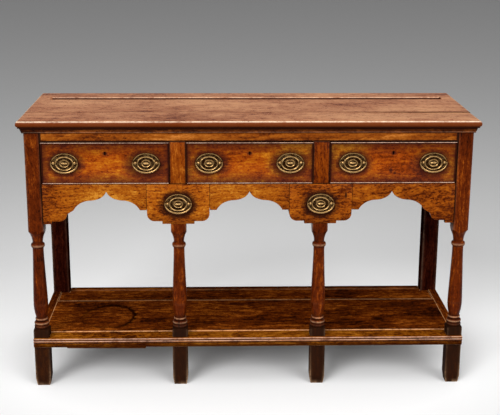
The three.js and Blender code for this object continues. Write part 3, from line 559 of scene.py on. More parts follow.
KINDS = {
    # Planed and waxed, then faded by light: dull and pinkish, the pink partly a painted reflection,
    # with a soft shine and pale edges that carry a painted highlight
    "top": (oak, "waxed faded oak", "top", dict(
        shine=0.08, soil_and_shade="#6a2c06", bare_and_highlight="#fae6ca", streak=0.35, mottle=0.65, stain=0.55, flecks=0.07,
    )),
    # Moulded with a plane and out of the light under the top: brown tones darkened with painted
    # shade, nearly black in its hollow
    "cornice": (oak, "brown waxed oak", "cornice", dict(streak=0.4, mottle=0.4)),
    # Planed uprights between the drawers: golden brown, with a little painted shadow at the joints
    "muntin": (oak, "waxed brown oak upright", "muntin", dict(
        streak=0.4, mottle=0.5, seam=0.5, quirk=0.0035, flecks=0.05,
    )),
    # Waxed and handled most: red gold in the middle, dark towards the bead with old wax and with
    # painted shadow in the gap, dark round the handles, and a painted highlight along the beads
    "front": (oak, "waxed golden oak front", "front", dict(FRONT, spots=FRONT_SPOTS)),
    "knotty_front": (oak, "waxed golden oak front with knots", "front", dict(
        FRONT, spots=FRONT_SPOTS + KNOTS,
    )),
    # Sawn to shape from coarser boards: yellow brown, with more pores and a halo at each handle
    "pier": (oak, "waxed golden oak pier", "apron", dict(APRON, spots=PIER_SPOTS)),
    "checked_pier": (oak, "waxed golden oak pier with a check", "apron", dict(
        APRON, spots=PIER_SPOTS + CHECK,
    )),
    "apron": (oak, "waxed golden oak", "apron", dict(APRON, border=0.15)),
    # Planed rails, even in tone, with painted shadow along the joints
    "rail": (oak, "waxed brown oak", "rail", dict(
        streak=0.38, mottle=0.35, stain=0.4, flecks=0.03, seam=0.95,
    )),
    # Turned and waxed: dark and even, pale where corners are rubbed, with a painted highlight on the
    # crests of the rings
    "leg": (oak, "waxed dark oak", "leg", dict(
        streak=0.3, mottle=0.4, flecks=0.05, soil_and_shade="#1c0e05", bare_and_highlight="#d0a47c",
    )),
    # Planed, at the back and out of the light: nearly black with painted shade, and without shine
    "post": (oak, "blackened oak", "post", dict(gloss=0.5, shine=0.0)),
    # Planed, and worn by what stood on it: dark and dull, with rubbed edges that carry a painted
    # highlight, and on the front rail painted shade under its reeds
    "pot_board": (oak, "dark worn oak", "pot_board", POT_BOARD),
    "pot_mark": (oak, "dark worn oak with a pot's mark", "pot_board", dict(
        POT_BOARD, soil_and_shade="#140400", ring=POT_RING, spots=PATCH,
    )),
    "pot_rail": (oak, "worn brown oak", "pot_rail", dict(shine=0.0, bare_and_highlight="#cca48e")),
    # Planed and never waxed: dry, pale and matt
    "inside": (oak, "dry oak", "inside", dict(
        gloss=0.7, shine=0.2, streak=0.35, mottle=0.3, flecks=0.05,
    )),
    "brass": (brass, "stamped brass", "brass", {}),
    "iron": (iron, "forged iron", "iron", {}),
}


@cache
def finish(kind):
    """The material of a kind of surface, made once."""
    make, name, key, options = KINDS[kind]
    tones = getattr(bpy.context.scene.dresser_finishes, key).split()
    return make(name, tones, **options)


# Forms


def nosed_board(box, nose, sides, groove=0.0, sink=0.0):
    """A board whose named sides have a half-round nosing, with a coved groove of a given width
    along it, or sunk towards the right end of its joint with the board behind it."""
    (x0, y0, z0), (x1, y1, z1) = box
    xs = [x0 + (x1 - x0) * i / 24 for i in range(25)]
    ys = [y0 + (y1 - y0) * i / 4 for i in range(5)]
    if sink:
        ys += [y1 - row * MM for row in SINK_ROWS]
    if groove:
        xs += [side * (GROOVE_REACH - step) for side in (-1, 1) for step in (0, GROOVE_STOP)]
        ys += [GROOVE_MIDDLE + groove / 2 * math.sin(math.pi / 2 * i / 6) for i in range(-6, 7)]
    xs, ys = sorted(set(xs)), sorted(set(ys))

    def dip(x, y):
        """How far the upper side lies below the board's full thickness."""
        if sink:
            along = clamp((x - SINK_START) / SINK_RUN)
            across = max(0.0, 1 - (y1 - y) / SINK_WIDTH)
            return sink * (SINK_LEFT_SHARE + (1 - SINK_LEFT_SHARE) * along) * across**2
        if not groove or abs(x) > GROOVE_REACH - GROOVE_STOP / 2:
            return 0.0
        share = min(1.0, abs(y - GROOVE_MIDDLE) / (groove / 2))
        return GROOVE_DEPTH * math.sqrt(1 - share * share)

    def held(i, j, inset):
        """The place of a point, drawn in from the sides that have a nosing."""
        x, y = xs[i], ys[j]
        x = max(x, x0 + inset) if "left" in sides else x
        x = min(x, x1 - inset) if "right" in sides else x
        y = max(y, y0 + inset) if "front" in sides else y
        return x, y

    rim = [(i, 0) for i in range(len(xs))]
    rim += [(len(xs) - 1, j) for j in range(1, len(ys))]
    rim += [(i, len(ys) - 1) for i in range(len(xs) - 2, -1, -1)]
    rim += [(0, j) for j in range(len(ys) - 2, 0, -1)]
    points, faces, wear, dirt = [], [], [], []
    steps = 10
    for step in range(steps + 1):
        turn = math.pi * step / steps - math.pi / 2
        height = (z0 + z1) / 2 + (z1 - z0) / 2 * math.sin(turn)
        inset = nose * (1 - math.cos(turn))
        share = max(0.0, math.sin(turn))
        points += [(*held(i, j, inset), height - share * dip(xs[i], ys[j])) for i, j in rim]

    # The nosing is dark below its shoulder, partly dark old finish and partly painted shade,
    # and has a painted highlight on its shoulder, over its last four bands
    nose_highlight, nose_finish_and_shade = (0.0, 0.25, 0.95, 0.15), (0.95, 0.5, 0.0, 0.0)
    count = len(rim)
    for level in range(steps):
        faces += band(level * count, (level + 1) * count, count)
        upper = max(0, level - steps + len(nose_highlight))
        for i in range(count):
            here, there = rim[i], rim[(i + 1) % count]
            if here[0] == there[0]:
                side = "left" if here[0] == 0 else "right"
            else:
                side = "front" if here[1] == 0 else "back"
            if side in sides:
                wear.append(nose_highlight[upper])
                dirt.append(nose_finish_and_shade[upper])
            else:
                # Painted shadow, nearly black, fills the open joint between the two boards
                wear.append(0.0)
                dirt.append(0.0 if side == "back" and groove else 1.9)

    for first, height, turned in ((0, z0, True), (steps * count, z1, False)):
        lookup = {cell: first + n for n, cell in enumerate(rim)}
        for i in range(len(xs)):
            for j in range(len(ys)):
                if (i, j) not in lookup:
                    lookup[i, j] = len(points)
                    lower = 0.0 if turned else dip(xs[i], ys[j])
                    points.append((*held(i, j, nose), height - lower))
        for i in range(len(xs) - 1):
            for j in range(len(ys) - 1):
                cells = ((i, j), (i + 1, j), (i + 1, j + 1), (i, j + 1))
                corners = tuple(lookup[cell] for cell in cells)
                faces.append(corners[::-1] if turned else corners)
                y = (ys[j] + ys[j + 1]) / 2
                worn, soiled_and_shaded = 0.0, 0.0
                if groove and not turned and dip(xs[i] + MM, y) > 0:
                    # Painted shade fills the groove, darkest under its far wall, and its lip has a
                    # painted highlight
                    across = (y - GROOVE_MIDDLE) / (groove / 2)
                    at_lip = across > 0.97
                    worn = 0.3 if at_lip else 0.0
                    soiled_and_shaded = 0.0 if at_lip else clamp(0.8 + 1.4 * across, 0.3, 1.8)
                wear.append(worn)
                dirt.append(soiled_and_shaded)
    return mesh_from(points, faces, "FACE", wear=wear, dirt=dirt)


def cut_across(work, axis, places):
    """Cuts a mesh in the making across an axis at each place."""
    normal = Vector([float(i == axis) for i in range(3)])
    for place in places:
        geom = [*work.verts, *work.edges, *work.faces]
        bmesh.ops.bisect_plane(work, geom=geom, plane_co=place * normal, plane_no=normal)


def age_and_shade_along(mesh, stops):
    """Writes how much darker a board is along its length, with years and painted shade, from places
    in millimetres and ages between which it changes evenly."""
    places = [place * MM for place, _ in stops]
    with reworked(mesh) as work:
        cut_across(work, 0, places)
    along = [vert.co.x for vert in mesh.vertices]
    write_amount(mesh, "age", np.interp(along, places, [age for _, age in stops]))


def hang_strip(mesh):
    """A strip let into the lower edge of the pot board's front rail hangs below the old wood, by
    3 mm at its left end and 5 mm at its right one."""
    start, end, ramp, height = -566 * MM, -324 * MM, 3 * MM, 8 * MM
    left_drop, right_drop = 3 * MM, 5 * MM
    low = POT_RAIL[0][2]
    with reworked(mesh) as work:
        cut_across(work, 0, (start - ramp, start, end, end + ramp))
        for vert in work.verts:
            x, y, z = vert.co
            along = (x - start) / (end - start)
            if -0.001 < along < 1.001 and z < low + height and y < FACE + RAIL_HOUSING:
                drop = left_drop + (right_drop - left_drop) * along
                vert.co.z -= drop * (1 - (z - low) / height)


def paint_light_strip(mesh, near, far, label, amount):
    """Paints a highlight or shade on the upper side of a board between two depths."""
    with reworked(mesh) as work:
        cut_across(work, 1, (near, far))
        layer = work.faces.layers.float[label]
        for face in work.faces:
            if face.normal.z > 0.9 and near < face.calc_center_median().y < far:
                face[layer] = amount


def moulding(profile, start, end, place):
    """A run of moulding. Its profile's points are (reach, height), start and end give how far
    along it a point of some reach lies, and place gives the point. Painted shade darkens it
    towards its top, under the top's nosing, and the bead at its foot has a painted highlight."""
    rings = [[place(at(reach), reach, z) for reach, z in profile] for at in (start, end)]
    low, high = profile[0][1], profile[1][1]
    shares = [(z - low) / (high - low) for _, z in profile]
    wear = [0.3 if 0.1 < share < 0.24 else 0.0 for share in shares]
    dirt = [clamp(1.9 * share - 0.55, high=0.95) for share in shares]
    return rings_to_mesh(rings, wear=2 * wear, dirt=2 * dirt)


# The cornice's section: reach before the face of the legs and height, in millimetres
CORNICE = (
    [(-0.3, 810), (-0.3, 829.7), (14, 829.7), (14, 826.7), (12.4, 826.7)]
    + bezier((12.4, 826.7), (7.9, 826.4), (6.4, 816.4), 7)
    + [(5.2, 816.4), (5.2, 815)]
    + bezier((5.2, 815), (5.0, 810.2), (2, 810), 5)
)


def half_round(top, height, radius):
    """Heights and radii of a turned half-round ring."""
    squat = height * 0.35
    angles = [math.pi * i / 10 for i in range(11)]
    middle = top - height / 2
    return [
        (middle + height / 2 * math.cos(a), radius - squat + squat * math.sin(a)) for a in angles
    ]


def turning_radius():
    """Heights and radii of the turned part of a leg in millimetres, from top to bottom."""
    stile, shoulder, neck = (508, 34), (491, 20.5), (465, 15.6)
    points = [stile]
    points += bezier(stile, (499.5, 23.5), shoulder, 12)
    points += bezier(shoulder, (479, 15.6), neck, 10)
    points += half_round(neck[0], 15, 21.2)
    shaft = [(447.5, 16.8), (425, 17.0), (400, 17.8), (368.75, 19.0), (320, 20.9)]
    shaft += [(269.75, 22.4), (255, 21.9), (240, 19.9), (228, 17.3), (222.5, 16.1)]
    heights = [p[0] for p in reversed(shaft)]
    radii = [p[1] for p in reversed(shaft)]
    top, foot, steps = heights[-1], heights[0], 40
    for i in range(steps + 1):
        z = top + (foot - top) * i / steps
        points.append((z, smooth_between(z, heights, radii)))
    points += half_round(foot, 8.5, 19)
    points += [(214, 15.2), (210.5, 15.2)]
    points += half_round(210.5, 11, 22.7)
    points += half_round(199.5, 11, 22.7)
    points += [(187, 23.5), (186.2, 29), (184, 34)]
    return points


def smooth_between(z, heights, radii):
    """A value between given ones on a smooth curve."""
    k = clamp(int(np.searchsorted(heights, z)), 1, len(heights) - 1)
    span = heights[k] - heights[k - 1]
    t = (z - heights[k - 1]) / span

    def slope(n):
        if n in (0, len(heights) - 1):
            return 0.0
        return (radii[n + 1] - radii[n - 1]) / (heights[n + 1] - heights[n - 1]) * span

    parts = (
        (2 * t**3 - 3 * t**2 + 1, radii[k - 1]),
        (t**3 - 2 * t**2 + t, slope(k - 1)),
        (-2 * t**3 + 3 * t**2, radii[k]),
        (t**3 - t**2, slope(k)),
    )
    return sum(share * value for share, value in parts)


def post_mesh(half, levels, centre, radius_at=None, step_back=None, seed=0, joint=0):
    """A square post, turned where radius_at is less than its square, with worn corners and a
    painted highlight on the crests of its rings. Dark wax and painted shade lie in its hollows, and
    painted shadow along the joint with the boards at its side."""
    count, rows, rows_per_metre = 96, 400, 480
    beside, depth = 7 * MM, 2 * MM  # a full hollow or ring differs by 2 mm from what is 7 mm away
    wax_top, wax_fade = 215 * MM, 30 * MM  # dark wax from a leg's low rings down, on all its block
    foot_height, foot_inset, foot_pale, foot_bruised = 24 * MM, 4 * MM, 70 * MM, 10 * MM
    joint_shade_width = 3 * MM
    crisp, blunt = 34, 12  # powers that make a corner square, unworn and worn most
    rng = np.random.default_rng(seed)
    chips = rng.uniform(0, 1, (rows, 4))
    chips = np.cumsum(chips - 0.5, axis=0)
    chips = (chips - chips.min(axis=0)) / (chips.max(axis=0) - chips.min(axis=0))
    rings, dirt, wear, age = [], [], [], []
    for z in levels:
        turned = radius_at(z) if radius_at else 1.0
        near = [radius_at(z + step) if radius_at else 1.0 for step in (-beside, beside)]
        # Dark wax and painted shade in the hollows, a painted highlight on the crests of the rings
        hollow = clamp((min(near) - turned) / depth)
        crest_highlight = clamp((turned - max(near)) / depth) * (0.5 if z < LOW_RINGS else 0.4)
        soiled_and_shaded = clamp((wax_top - z) / wax_fade, high=0.9) if radius_at else 0.0
        foot = max(0.0, 1 - z / foot_height) * foot_inset
        pale = max(0.0, 1 - z / foot_pale)
        bruise = 0.6 * max(0.0, 1 - z / foot_bruised)
        ring = []
        for i in range(count):
            angle = 2 * math.pi * (i + 0.5) / count
            c, s = abs(math.cos(angle)), abs(math.sin(angle))
            corner = int(angle / (math.pi / 2)) % 4
            chip = chips[int(z * rows_per_metre) % rows, corner]
            power = crisp - (crisp - blunt) * chip
            square = (half - foot) / (c**power + s**power) ** (1 / power)
            radius = min(square, turned)
            x, y = radius * math.cos(angle), radius * math.sin(angle)
            if step_back:
                y = max(y, step_back(z) - centre[1])
            ring.append((centre[0] + x, centre[1] + y, z))
            # Painted shadow along the joint with the boards at the post's side
            in_joint_shade = joint * x > half - joint_shade_width and z > PIER_FOOT
            at_corner = (min(c, s) / max(c, s)) ** 10 if square <= turned else 0.0
            # Rubbed corners and feet, and the painted highlight on the crests of the rings
            rubbed = max(at_corner * (0.3 * chip + pale), crest_highlight, bruise * chip)
            wear.append(0.0 if in_joint_shade else rubbed)
            dirt.append(0.9 if in_joint_shade else max(0.85 * hollow, soiled_and_shaded))
            age.append(-0.15 if radius_at and z > PIER_FOOT else 0.0)
        rings.append(ring)
    return rings_to_mesh(rings, wear=np.clip(wear, 0, 1), dirt=dirt, age=age)


def apron_edge(steps=10):
    """Half an arch of the apron's edge: distance from its middle and rise above the pier's foot,
    in millimetres."""
    reach = PIER_REACH / MM
    hollow, step = reach * 0.458, reach * 0.833
    cusp, crown, ledge = 101.0, 73.0, 43.0
    edge = [(0.0, cusp)]
    edge += bezier((0.0, cusp), (reach * 0.09, 73.84), (hollow, crown), steps)
    edge += bezier((hollow, crown), (hollow + (step - hollow) * 0.69, 68.5), (step, ledge), steps)
    edge.append((reach, ledge))
    return edge


def pier_edge(steps=8):
    """The pier's edge from the arch's step down to its foot."""
    reach = PIER_REACH / MM
    foot, radius, fillet = reach + 46.0, 22.5, 8.5
    edge = []
    for i in range(steps + 1):
        a = math.pi + math.pi / 2 * i / steps
        edge.append((reach + radius * (1 + math.cos(a)), fillet + radius * (1 + math.sin(a))))
    edge += [(foot, fillet), (foot, 0.0)]
    return edge


def set_edge(edge, middle, side):
    """An edge in millimetres set to one side of a middle, over the pier's foot, in metres."""
    return [(middle + side * x * MM, PIER_FOOT + z * MM) for x, z in edge]


def plate_height(share):
    """Height of the pressed plate over its seat at a share of its half width, in millimetres."""
    rises = ((0.31, 2.5, 0.045), (0.61, 2.2, 0.05), (0.93, 2.3, 0.045))
    level = 2.3 + sum(h * math.exp(-(((share - c) / w) ** 2)) for c, h, w in rises)
    edge = max(0.0, (share - 0.95) / 0.05)
    return level * (1 - 0.72 * edge**2)


def handle_plate(thickness):
    """The oval plate with its two bolts through a front, its middle at the origin."""
    around, out = 72, 44
    half_x, half_z = (PLATE[1][0] - PLATE[0][0]) / 2, (PLATE[1][2] - PLATE[0][2]) / 2
    boss_x, boss_z, outer = 0.17, 0.08, 0.66  # the boss and the outer hollow's start, as shares
    clean, fade = 4.0, 1.7  # heights in millimetres: polish stays below 4.0 and is thick by 2.3
    points, dirt = [(0, -(plate_height(0) + BOSS_HEIGHT) * MM, 0)], [0.0]
    for k in range(1, out + 1):
        share = k / out
        height = plate_height(share)
        hollow = clamp((clean - height) / fade, high=0.75) * (0.9 if share > outer else 1.0)
        for c, s in circle(around):
            boss = math.exp(-((share * c / boss_x) ** 2) - (share * s / boss_z) ** 2)
            stand = (height + BOSS_HEIGHT * boss) * MM
            points.append((share * c * half_x, -stand, share * s * half_z))
            dirt.append(max(0.0, hollow - 1.5 * boss))
    points += [(half_x * c, -SEAT, half_z * s) for c, s in circle(around)]
    points.append((0, -SEAT, 0))
    dirt += [0.6] * around + [0.9]

    last, middle = 1 + out * around, len(points) - 1
    faces = [(0, 1 + i, 1 + (i + 1) % around) for i in range(around)]
    for k in range(out):
        faces += band(1 + k * around, 1 + (k + 1) * around, around)
    faces += [(last + i, middle, last + (i + 1) % around) for i in range(around)]

    turns = [(math.pi / 2 + BOLT_NECK) * i / 12 - math.pi / 2 for i in range(13)]
    bolt = [(BOLT_HEAD * math.cos(a), BOLT_HEAD * math.sin(a) - PIN_STAND) for a in turns]
    nut = (thickness + SEAT) / MM
    bolt += [(BOLT_SHANK, SHANK_START), (BOLT_SHANK, nut), (NUT_RADIUS, nut)]
    bolt += [(NUT_RADIUS, nut + NUT_HEIGHT), (0.0, nut + NUT_HEIGHT)]
    for side in (-1, 1):
        add_turned(points, faces, dirt, bolt, side * BOLT_OFFSET, BOLT_RISE)
    mesh = bpy.data.meshes.new("plate")
    mesh.from_pydata(points, [], faces)
    with reworked(mesh) as work:
        bmesh.ops.recalc_face_normals(work, faces=work.faces)
    write_amount(mesh, "dirt", dirt)
    return mesh


def add_turned(points, faces, dirt, profile, x, z, around=24):
    """Adds a turned form to a mesh in the making. Its axis runs from front to back through x and
    z, and its profile's points are (radius, depth), all in millimetres. The back of a bolt's head
    and what lies behind it are dark."""
    base = len(points)
    bright = -6.0  # in front of this depth
    for radius, y in profile:
        points += [((x + radius * c) * MM, y * MM, (z + radius * s) * MM) for c, s in circle(around)]
        dirt += [0.0 if y < bright else 0.9] * around
    for k in range(len(profile) - 1):
        faces += band(base + k * around, base + (k + 1) * around, around)


def handle_bail():
    """The bail hanging from its pins, which lie on the x axis."""
    half, drop, lug_rise = 39.7, 29.5, 1.9  # in millimetres; its ends stand above the pins
    thin, swell = 1.8, 0.9  # its radius at the ends, and what that gains towards the middle
    steps, around = 56, 14
    lug = math.asin(lug_rise / drop)
    rings = []
    for k in range(steps + 1):
        a = math.pi - lug + (math.pi + 2 * lug) * k / steps
        centre = Vector((half * math.cos(a), 0, drop * math.sin(a)))
        along = Vector((-half * math.sin(a), 0, drop * math.cos(a))).normalized()
        radius = thin + swell * math.sin(math.pi * k / steps) ** 2
        out = along.cross(Vector((0, 1, 0))) * radius
        back = Vector((0, radius, 0))
        rings.append([(centre + out * c + back * s) * MM for c, s in circle(around)])
    mesh = rings_to_mesh(rings)
    pin_radius, pin_length, pin_middle = 1.25 * MM, 6.0 * MM, 36.7 * MM
    with reworked(mesh) as work:
        for side in (-1, 1):
            place = Matrix.Translation((side * pin_middle, 0, 0))
            bmesh.ops.create_cone(
                work,
                cap_ends=True,
                segments=12,
                radius1=pin_radius,
                radius2=pin_radius,
                depth=pin_length,
                matrix=place @ Matrix.Rotation(math.pi / 2, 4, "Y"),
            )
    return mesh


# Sizes and finishes that a user would change


def length_property(name, description, size):
    """A length in metres that a user can change."""
    return bpy.props.FloatProperty(
        name=name, description=description, default=size, unit="LENGTH", precision=5
    )


def tones_property(name, description, tones):
    """The tones of a finish, from dark to light, as sRGB hex values with spaces between them."""
    return bpy.props.StringProperty(name=name, description=description, default=tones)


class DresserSizes(bpy.types.PropertyGroup):
    """The sizes that a user would change"""

    arris: length_property("Arris", "How far the arrises of the boards are eased", 1.2 * MM)
    nosing: length_property(
        "Nosing", "How far the half-round edge of the top comes forward", 7 * MM
    )
    groove: length_property("Plate groove", "Width of the groove that plates stand in", 44 * MM)


class DresserFinishes(bpy.types.PropertyGroup):
    """The tones of each finish, from dark to light, as sRGB hex values"""

    # The top's pinkish tones are partly a painted reflection of the backdrop
    top: tones_property("Top", "Oak faded by light", "#6a3016 #a06240 #b27652 #ca9066")
    # The cornice's tones are darkened with painted shade, as it lies under the top
    cornice: tones_property("Cornice", "Brown oak", "#1c0501 #4a1e06 #602c0a #96501c")
    muntin: tones_property("Uprights", "Golden brown oak", "#4a1602 #7c3404 #8a4008 #b8681c")
    front: tones_property("Fronts", "Golden oak", "#5a1f02 #963e08 #ac5a0c #d0831e")
    apron: tones_property("Apron", "Golden oak, coarser", "#4a1802 #90440a #ac5e10 #d28a2c")
    rail: tones_property("Rails", "Brown oak", "#4c1c06 #86400c #a25816 #cc7c34")
    leg: tones_property("Legs", "Dark brown oak", "#1e0601 #4a1802 #602304 #984a0e")
    # The posts' tones are painted shade: they stand at the back, out of the light
    post: tones_property("Posts", "Nearly black oak", "#120201 #1e0602 #280a04 #3a1408")
    pot_board: tones_property("Pot board", "Dark worn oak", "#1e0802 #4a1c04 #5c2605 #904c14")
    pot_rail: tones_property("Pot board rail", "Brown oak", "#341103 #6a3206 #8a4a0a #b06c1c")
    inside: tones_property("Inside", "Dry oak", "#553520 #7c5232 #90643e #b08658")
    brass: tones_property("Brass", "Ridges and hollows", "#ba945f #261205")
    iron: tones_property("Iron", "Bright and rusty", "#3a3632 #4a3020")


# Operators


class DRESSER_OT_top(bpy.types.Operator):
    """Makes the two boards of the top and the mitred cornice below it"""

    bl_idname = "dresser.top"
    bl_label = "Top and cornice"

    def execute(self, context):
        sizes = context.scene.dresser_sizes
        mesh = nosed_board(TOP_FRONT, sizes.nosing, ("left", "right", "front"), sink=JOINT_SINK)
        put("top_board_near", mesh, "top", "top_board_front")
        mesh = nosed_board(TOP_BACK, sizes.nosing, ("left", "right"), sizes.groove)
        put("top_board_far", mesh, "top", "top_board_back")

        profile = [(reach * MM, z * MM) for reach, z in CORNICE]
        side = LEG[1][0]
        mesh = moulding(
            profile,
            lambda reach: -side - reach,
            lambda reach: side + reach,
            lambda x, reach, z: (x, FACE - reach, z),
        )
        put("cornice_run", mesh, "cornice", "cornice_front")
        for name, sign in SIDES:
            mesh = moulding(
                profile,
                lambda reach: FACE - reach + SEAT,
                lambda reach: POST[1][1],
                lambda y, reach, z: (sign * (side + reach), y, z),
            )
            put(f"cornice_return_{name}", mesh, "cornice", f"cornice_{name}", axis="y")
        return {"FINISHED"}


class DRESSER_OT_legs(bpy.types.Operator):
    """Turns the four front legs from square posts and makes the two rear posts"""

    bl_idname = "dresser.legs"
    bl_label = "Legs and posts"

    foot_levels = (0, 3, 8, 14, 20, 24)  # in millimetres, closer together where a foot is round
    stile_foot = 509 * MM  # the turned part of a leg ends below this height

    def execute(self, context):
        self.make_legs()
        self.make_posts()
        return {"FINISHED"}

    def make_legs(self):
        turning = turning_radius()
        heights = [z * MM for z, _ in reversed(turning)]
        radii = [r * MM for _, r in reversed(turning)]
        low, high = POT_RAIL[0][2] - SEAT, POT_RAIL[1][2] + SEAT
        pier = PIER_FOOT - MM
        base = {z * MM for z in (*self.foot_levels, 30, 45, 60, 90, 118, 130, 170)}
        base |= set(heights) | {low - HAIR, low + HAIR, high - HAIR, high + HAIR}

        def radius_at(z):
            return float(np.interp(z, heights, radii, left=1.0, right=1.0))

        corner = (LEG[0][0] + LEG[1][0]) / 2
        places = (
            ("corner_leg_left", -corner, LEG[1][2], False),
            ("mid_leg_left", -MID_X, MID_LEG[1][2], True),
            ("mid_leg_right", MID_X, MID_LEG[1][2], True),
            ("corner_leg_right", corner, LEG[1][2], False),
        )
        for number, (node, x, top, under_drawer) in enumerate(places):
            rise = top - self.stile_foot
            levels = base | {self.stile_foot + rise * i / 12 for i in range(13)}
            if under_drawer:
                levels |= {pier - HAIR, pier + HAIR}

            def front_at(z):
                if low < z < high:
                    return FACE + RAIL_HOUSING + SEAT
                if under_drawer and z > pier:
                    return FACE + PIER_HOUSING
                return FACE

            mesh = post_mesh(
                LEG_SIDE / 2,
                sorted(z for z in levels if z <= top),
                (x, FACE + LEG_SIDE / 2),
                radius_at,
                front_at,
                seed=number + 1,
                joint=0 if under_drawer else math.copysign(1, -x),
            )
            name = node.replace("leg", "turned_leg")
            put(name, mesh, "leg", node, axis="z")

    def make_posts(self):
        half = (POST[1][0] - POST[0][0]) / 2
        foot, top = 30 * MM, POST[1][2]
        levels = [z * MM for z in self.foot_levels]
        levels += [foot + (top - foot) * i / 30 for i in range(31)]
        for number, (name, sign) in enumerate(SIDES):
            centre = (sign * (POST[0][0] + half), POST[0][1] + half)
            mesh = post_mesh(half, levels, centre, seed=number + 11)
            put(f"square_post_{name}", mesh, "post", f"rear_post_{name}", axis="z")


class DRESSER_OT_frieze(bpy.types.Operator):
    """Makes the rails, muntins, shaped apron and panels of the frieze"""

    bl_idname = "dresser.frieze"
    bl_label = "Frieze"

    def execute(self, context):
        arris = context.scene.dresser_sizes.arris
        self.make_boards(arris)
        self.make_apron(arris)
        return {"FINISHED"}

    def make_boards(self, arris):
        boards = (
            ("top_rail", "x", "rail", "oak_frame"),
            ("muntin_left", "z", "muntin", "oak_frame"),
            ("muntin_right", "z", "muntin", "oak_frame"),
            ("drawer_rail", "x", "rail", "oak_frame"),
            ("end_panel_left", "y", "rail", "oak_frame"),
            ("end_panel_right", "y", "rail", "oak_frame"),
            ("back_panel", "x", "inside", "oak_inside"),
            ("runner_left", "y", "inside", "oak_inside"),
            ("runner_right", "y", "inside", "oak_inside"),
            ("spice_housing_left", "y", "inside", "oak_inside"),
            ("spice_housing_right", "y", "inside", "oak_inside"),
        )
        for node, axis, kind, slot in boards:
            # Faces across a joint get painted shadow
            mesh = eased_copy(node, arris, wear=0.05, joints=axis != "y")
            # The right muntin is darker, with painted shade
            age = 0.8 if node == "muntin_right" else 0.1
            put(f"{node}_board", mesh, kind, node, axis=axis, age=age)

    def make_apron(self, arris):
        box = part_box("apron_centre")
        top = box[1][2]
        bay = 2 * MID_X
        inner_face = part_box("apron_right")[1][0]
        arch = apron_edge()
        middle = set_edge(arch, 0, -1)[::-1][:-1] + set_edge(arch, 0, 1)
        middle += [(PIER_REACH, top), (-PIER_REACH, top)]
        right = set_edge(arch, bay, -1)[::-1][:-1] + set_edge(arch[:-1] + pier_edge(), bay, 1)
        right += [(inner_face, PIER_FOOT), (inner_face, top), (bay - PIER_REACH, top)]
        left = [(-x, z) for x, z in right]
        for name, outline in (("centre", middle), ("left", left), ("right", right)):
            mesh = slab_from(outline, box[0][1], box[1][1], arris)
            age_and_shade_along(mesh, APRON_AGES_AND_SHADE)
            put(f"apron_board_{name}", mesh, "apron", f"apron_{name}")


class DRESSER_OT_long_drawers(bpy.types.Operator):
    """Makes the three long drawers with their beaded fronts, boxes and locks"""

    bl_idname = "dresser.long_drawers"
    bl_label = "Long drawers"

    def execute(self, context):
        for drawer in LONG_DRAWERS:
            front, box, lock = (f"{drawer}_{part}" for part in ("front", "box", "lock"))
            knotty = drawer == "drawer_right"
            # The right drawer's front is a little darker, with painted shade
            kind, age = ("knotty_front", 0.12) if knotty else ("front", 0.05)
            # Painted highlight on the bead's top, painted shadow below it and in the gaps
            mesh = eased_copy(front, BEAD_ARRIS, wear=0.0, least=30, joints=True)
            put(f"{drawer}_beaded_front", mesh, kind, front, drawer, age=age)
            mesh = eased_copy(box, BOX_ARRIS)
            put(f"{drawer}_dovetailed_box", mesh, "inside", box, drawer, "y")
            mesh = eased_copy(lock, LOCK_ARRIS)
            put(f"{drawer}_till_lock", mesh, "iron", lock, drawer)
        return {"FINISHED"}


class DRESSER_OT_spice_drawers(bpy.types.Operator):
    """Makes the two small drawers whose fronts are the piers of the apron"""

    bl_idname = "dresser.spice_drawers"
    bl_label = "Spice drawers"

    def execute(self, context):
        arris = context.scene.dresser_sizes.arris
        for drawer in SPICE_DRAWERS:
            front, box = f"{drawer}_front", f"{drawer}_box"
            kind = "checked_pier" if drawer == "spice_drawer_right" else "pier"
            mesh = eased_copy(front, 0.8 * arris, wear=0.0, proud=0.0, joints=True)
            age_and_shade_along(mesh, APRON_AGES_AND_SHADE)
            put(f"{drawer}_shaped_front", mesh, kind, front, drawer)
            mesh = eased_copy(box, BOX_ARRIS)
            put(f"{drawer}_small_box", mesh, "inside", box, drawer, "y")
        return {"FINISHED"}


class DRESSER_OT_handles(bpy.types.Operator):
    """Makes the oval plates with their bolts and the bails that swing on them"""

    bl_idname = "dresser.handles"
    bl_label = "Handles"

    def execute(self, context):
        handles = [f"{d}_handle_{side}" for d in LONG_DRAWERS for side, _ in SIDES]
        handles += [f"{d}_handle" for d in SPICE_DRAWERS]
        for handle in handles:
            drawer = handle.split("_handle")[0]
            plate, bail = f"{handle}_plate", f"{handle}_bail"
            low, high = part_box(plate)
            x, z = (low[0] + high[0]) / 2, (low[2] + high[2]) / 2
            mesh = handle_plate(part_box(f"{drawer}_front")[1][1] - FACE)
            mesh.transform(Matrix.Translation((x, FACE, z)))
            name = handle.replace("handle", "oval_plate")
            put(name, mesh, "brass", plate, drawer, sharp=50)
            mesh = handle_bail()
            mesh.transform(Matrix.Translation((x, FACE - PIN_STAND * MM, z + BOLT_RISE * MM)))
            name = handle.replace("handle", "bail_handle")
            put(name, mesh, "brass", bail, bail, sharp=50)
        return {"FINISHED"}


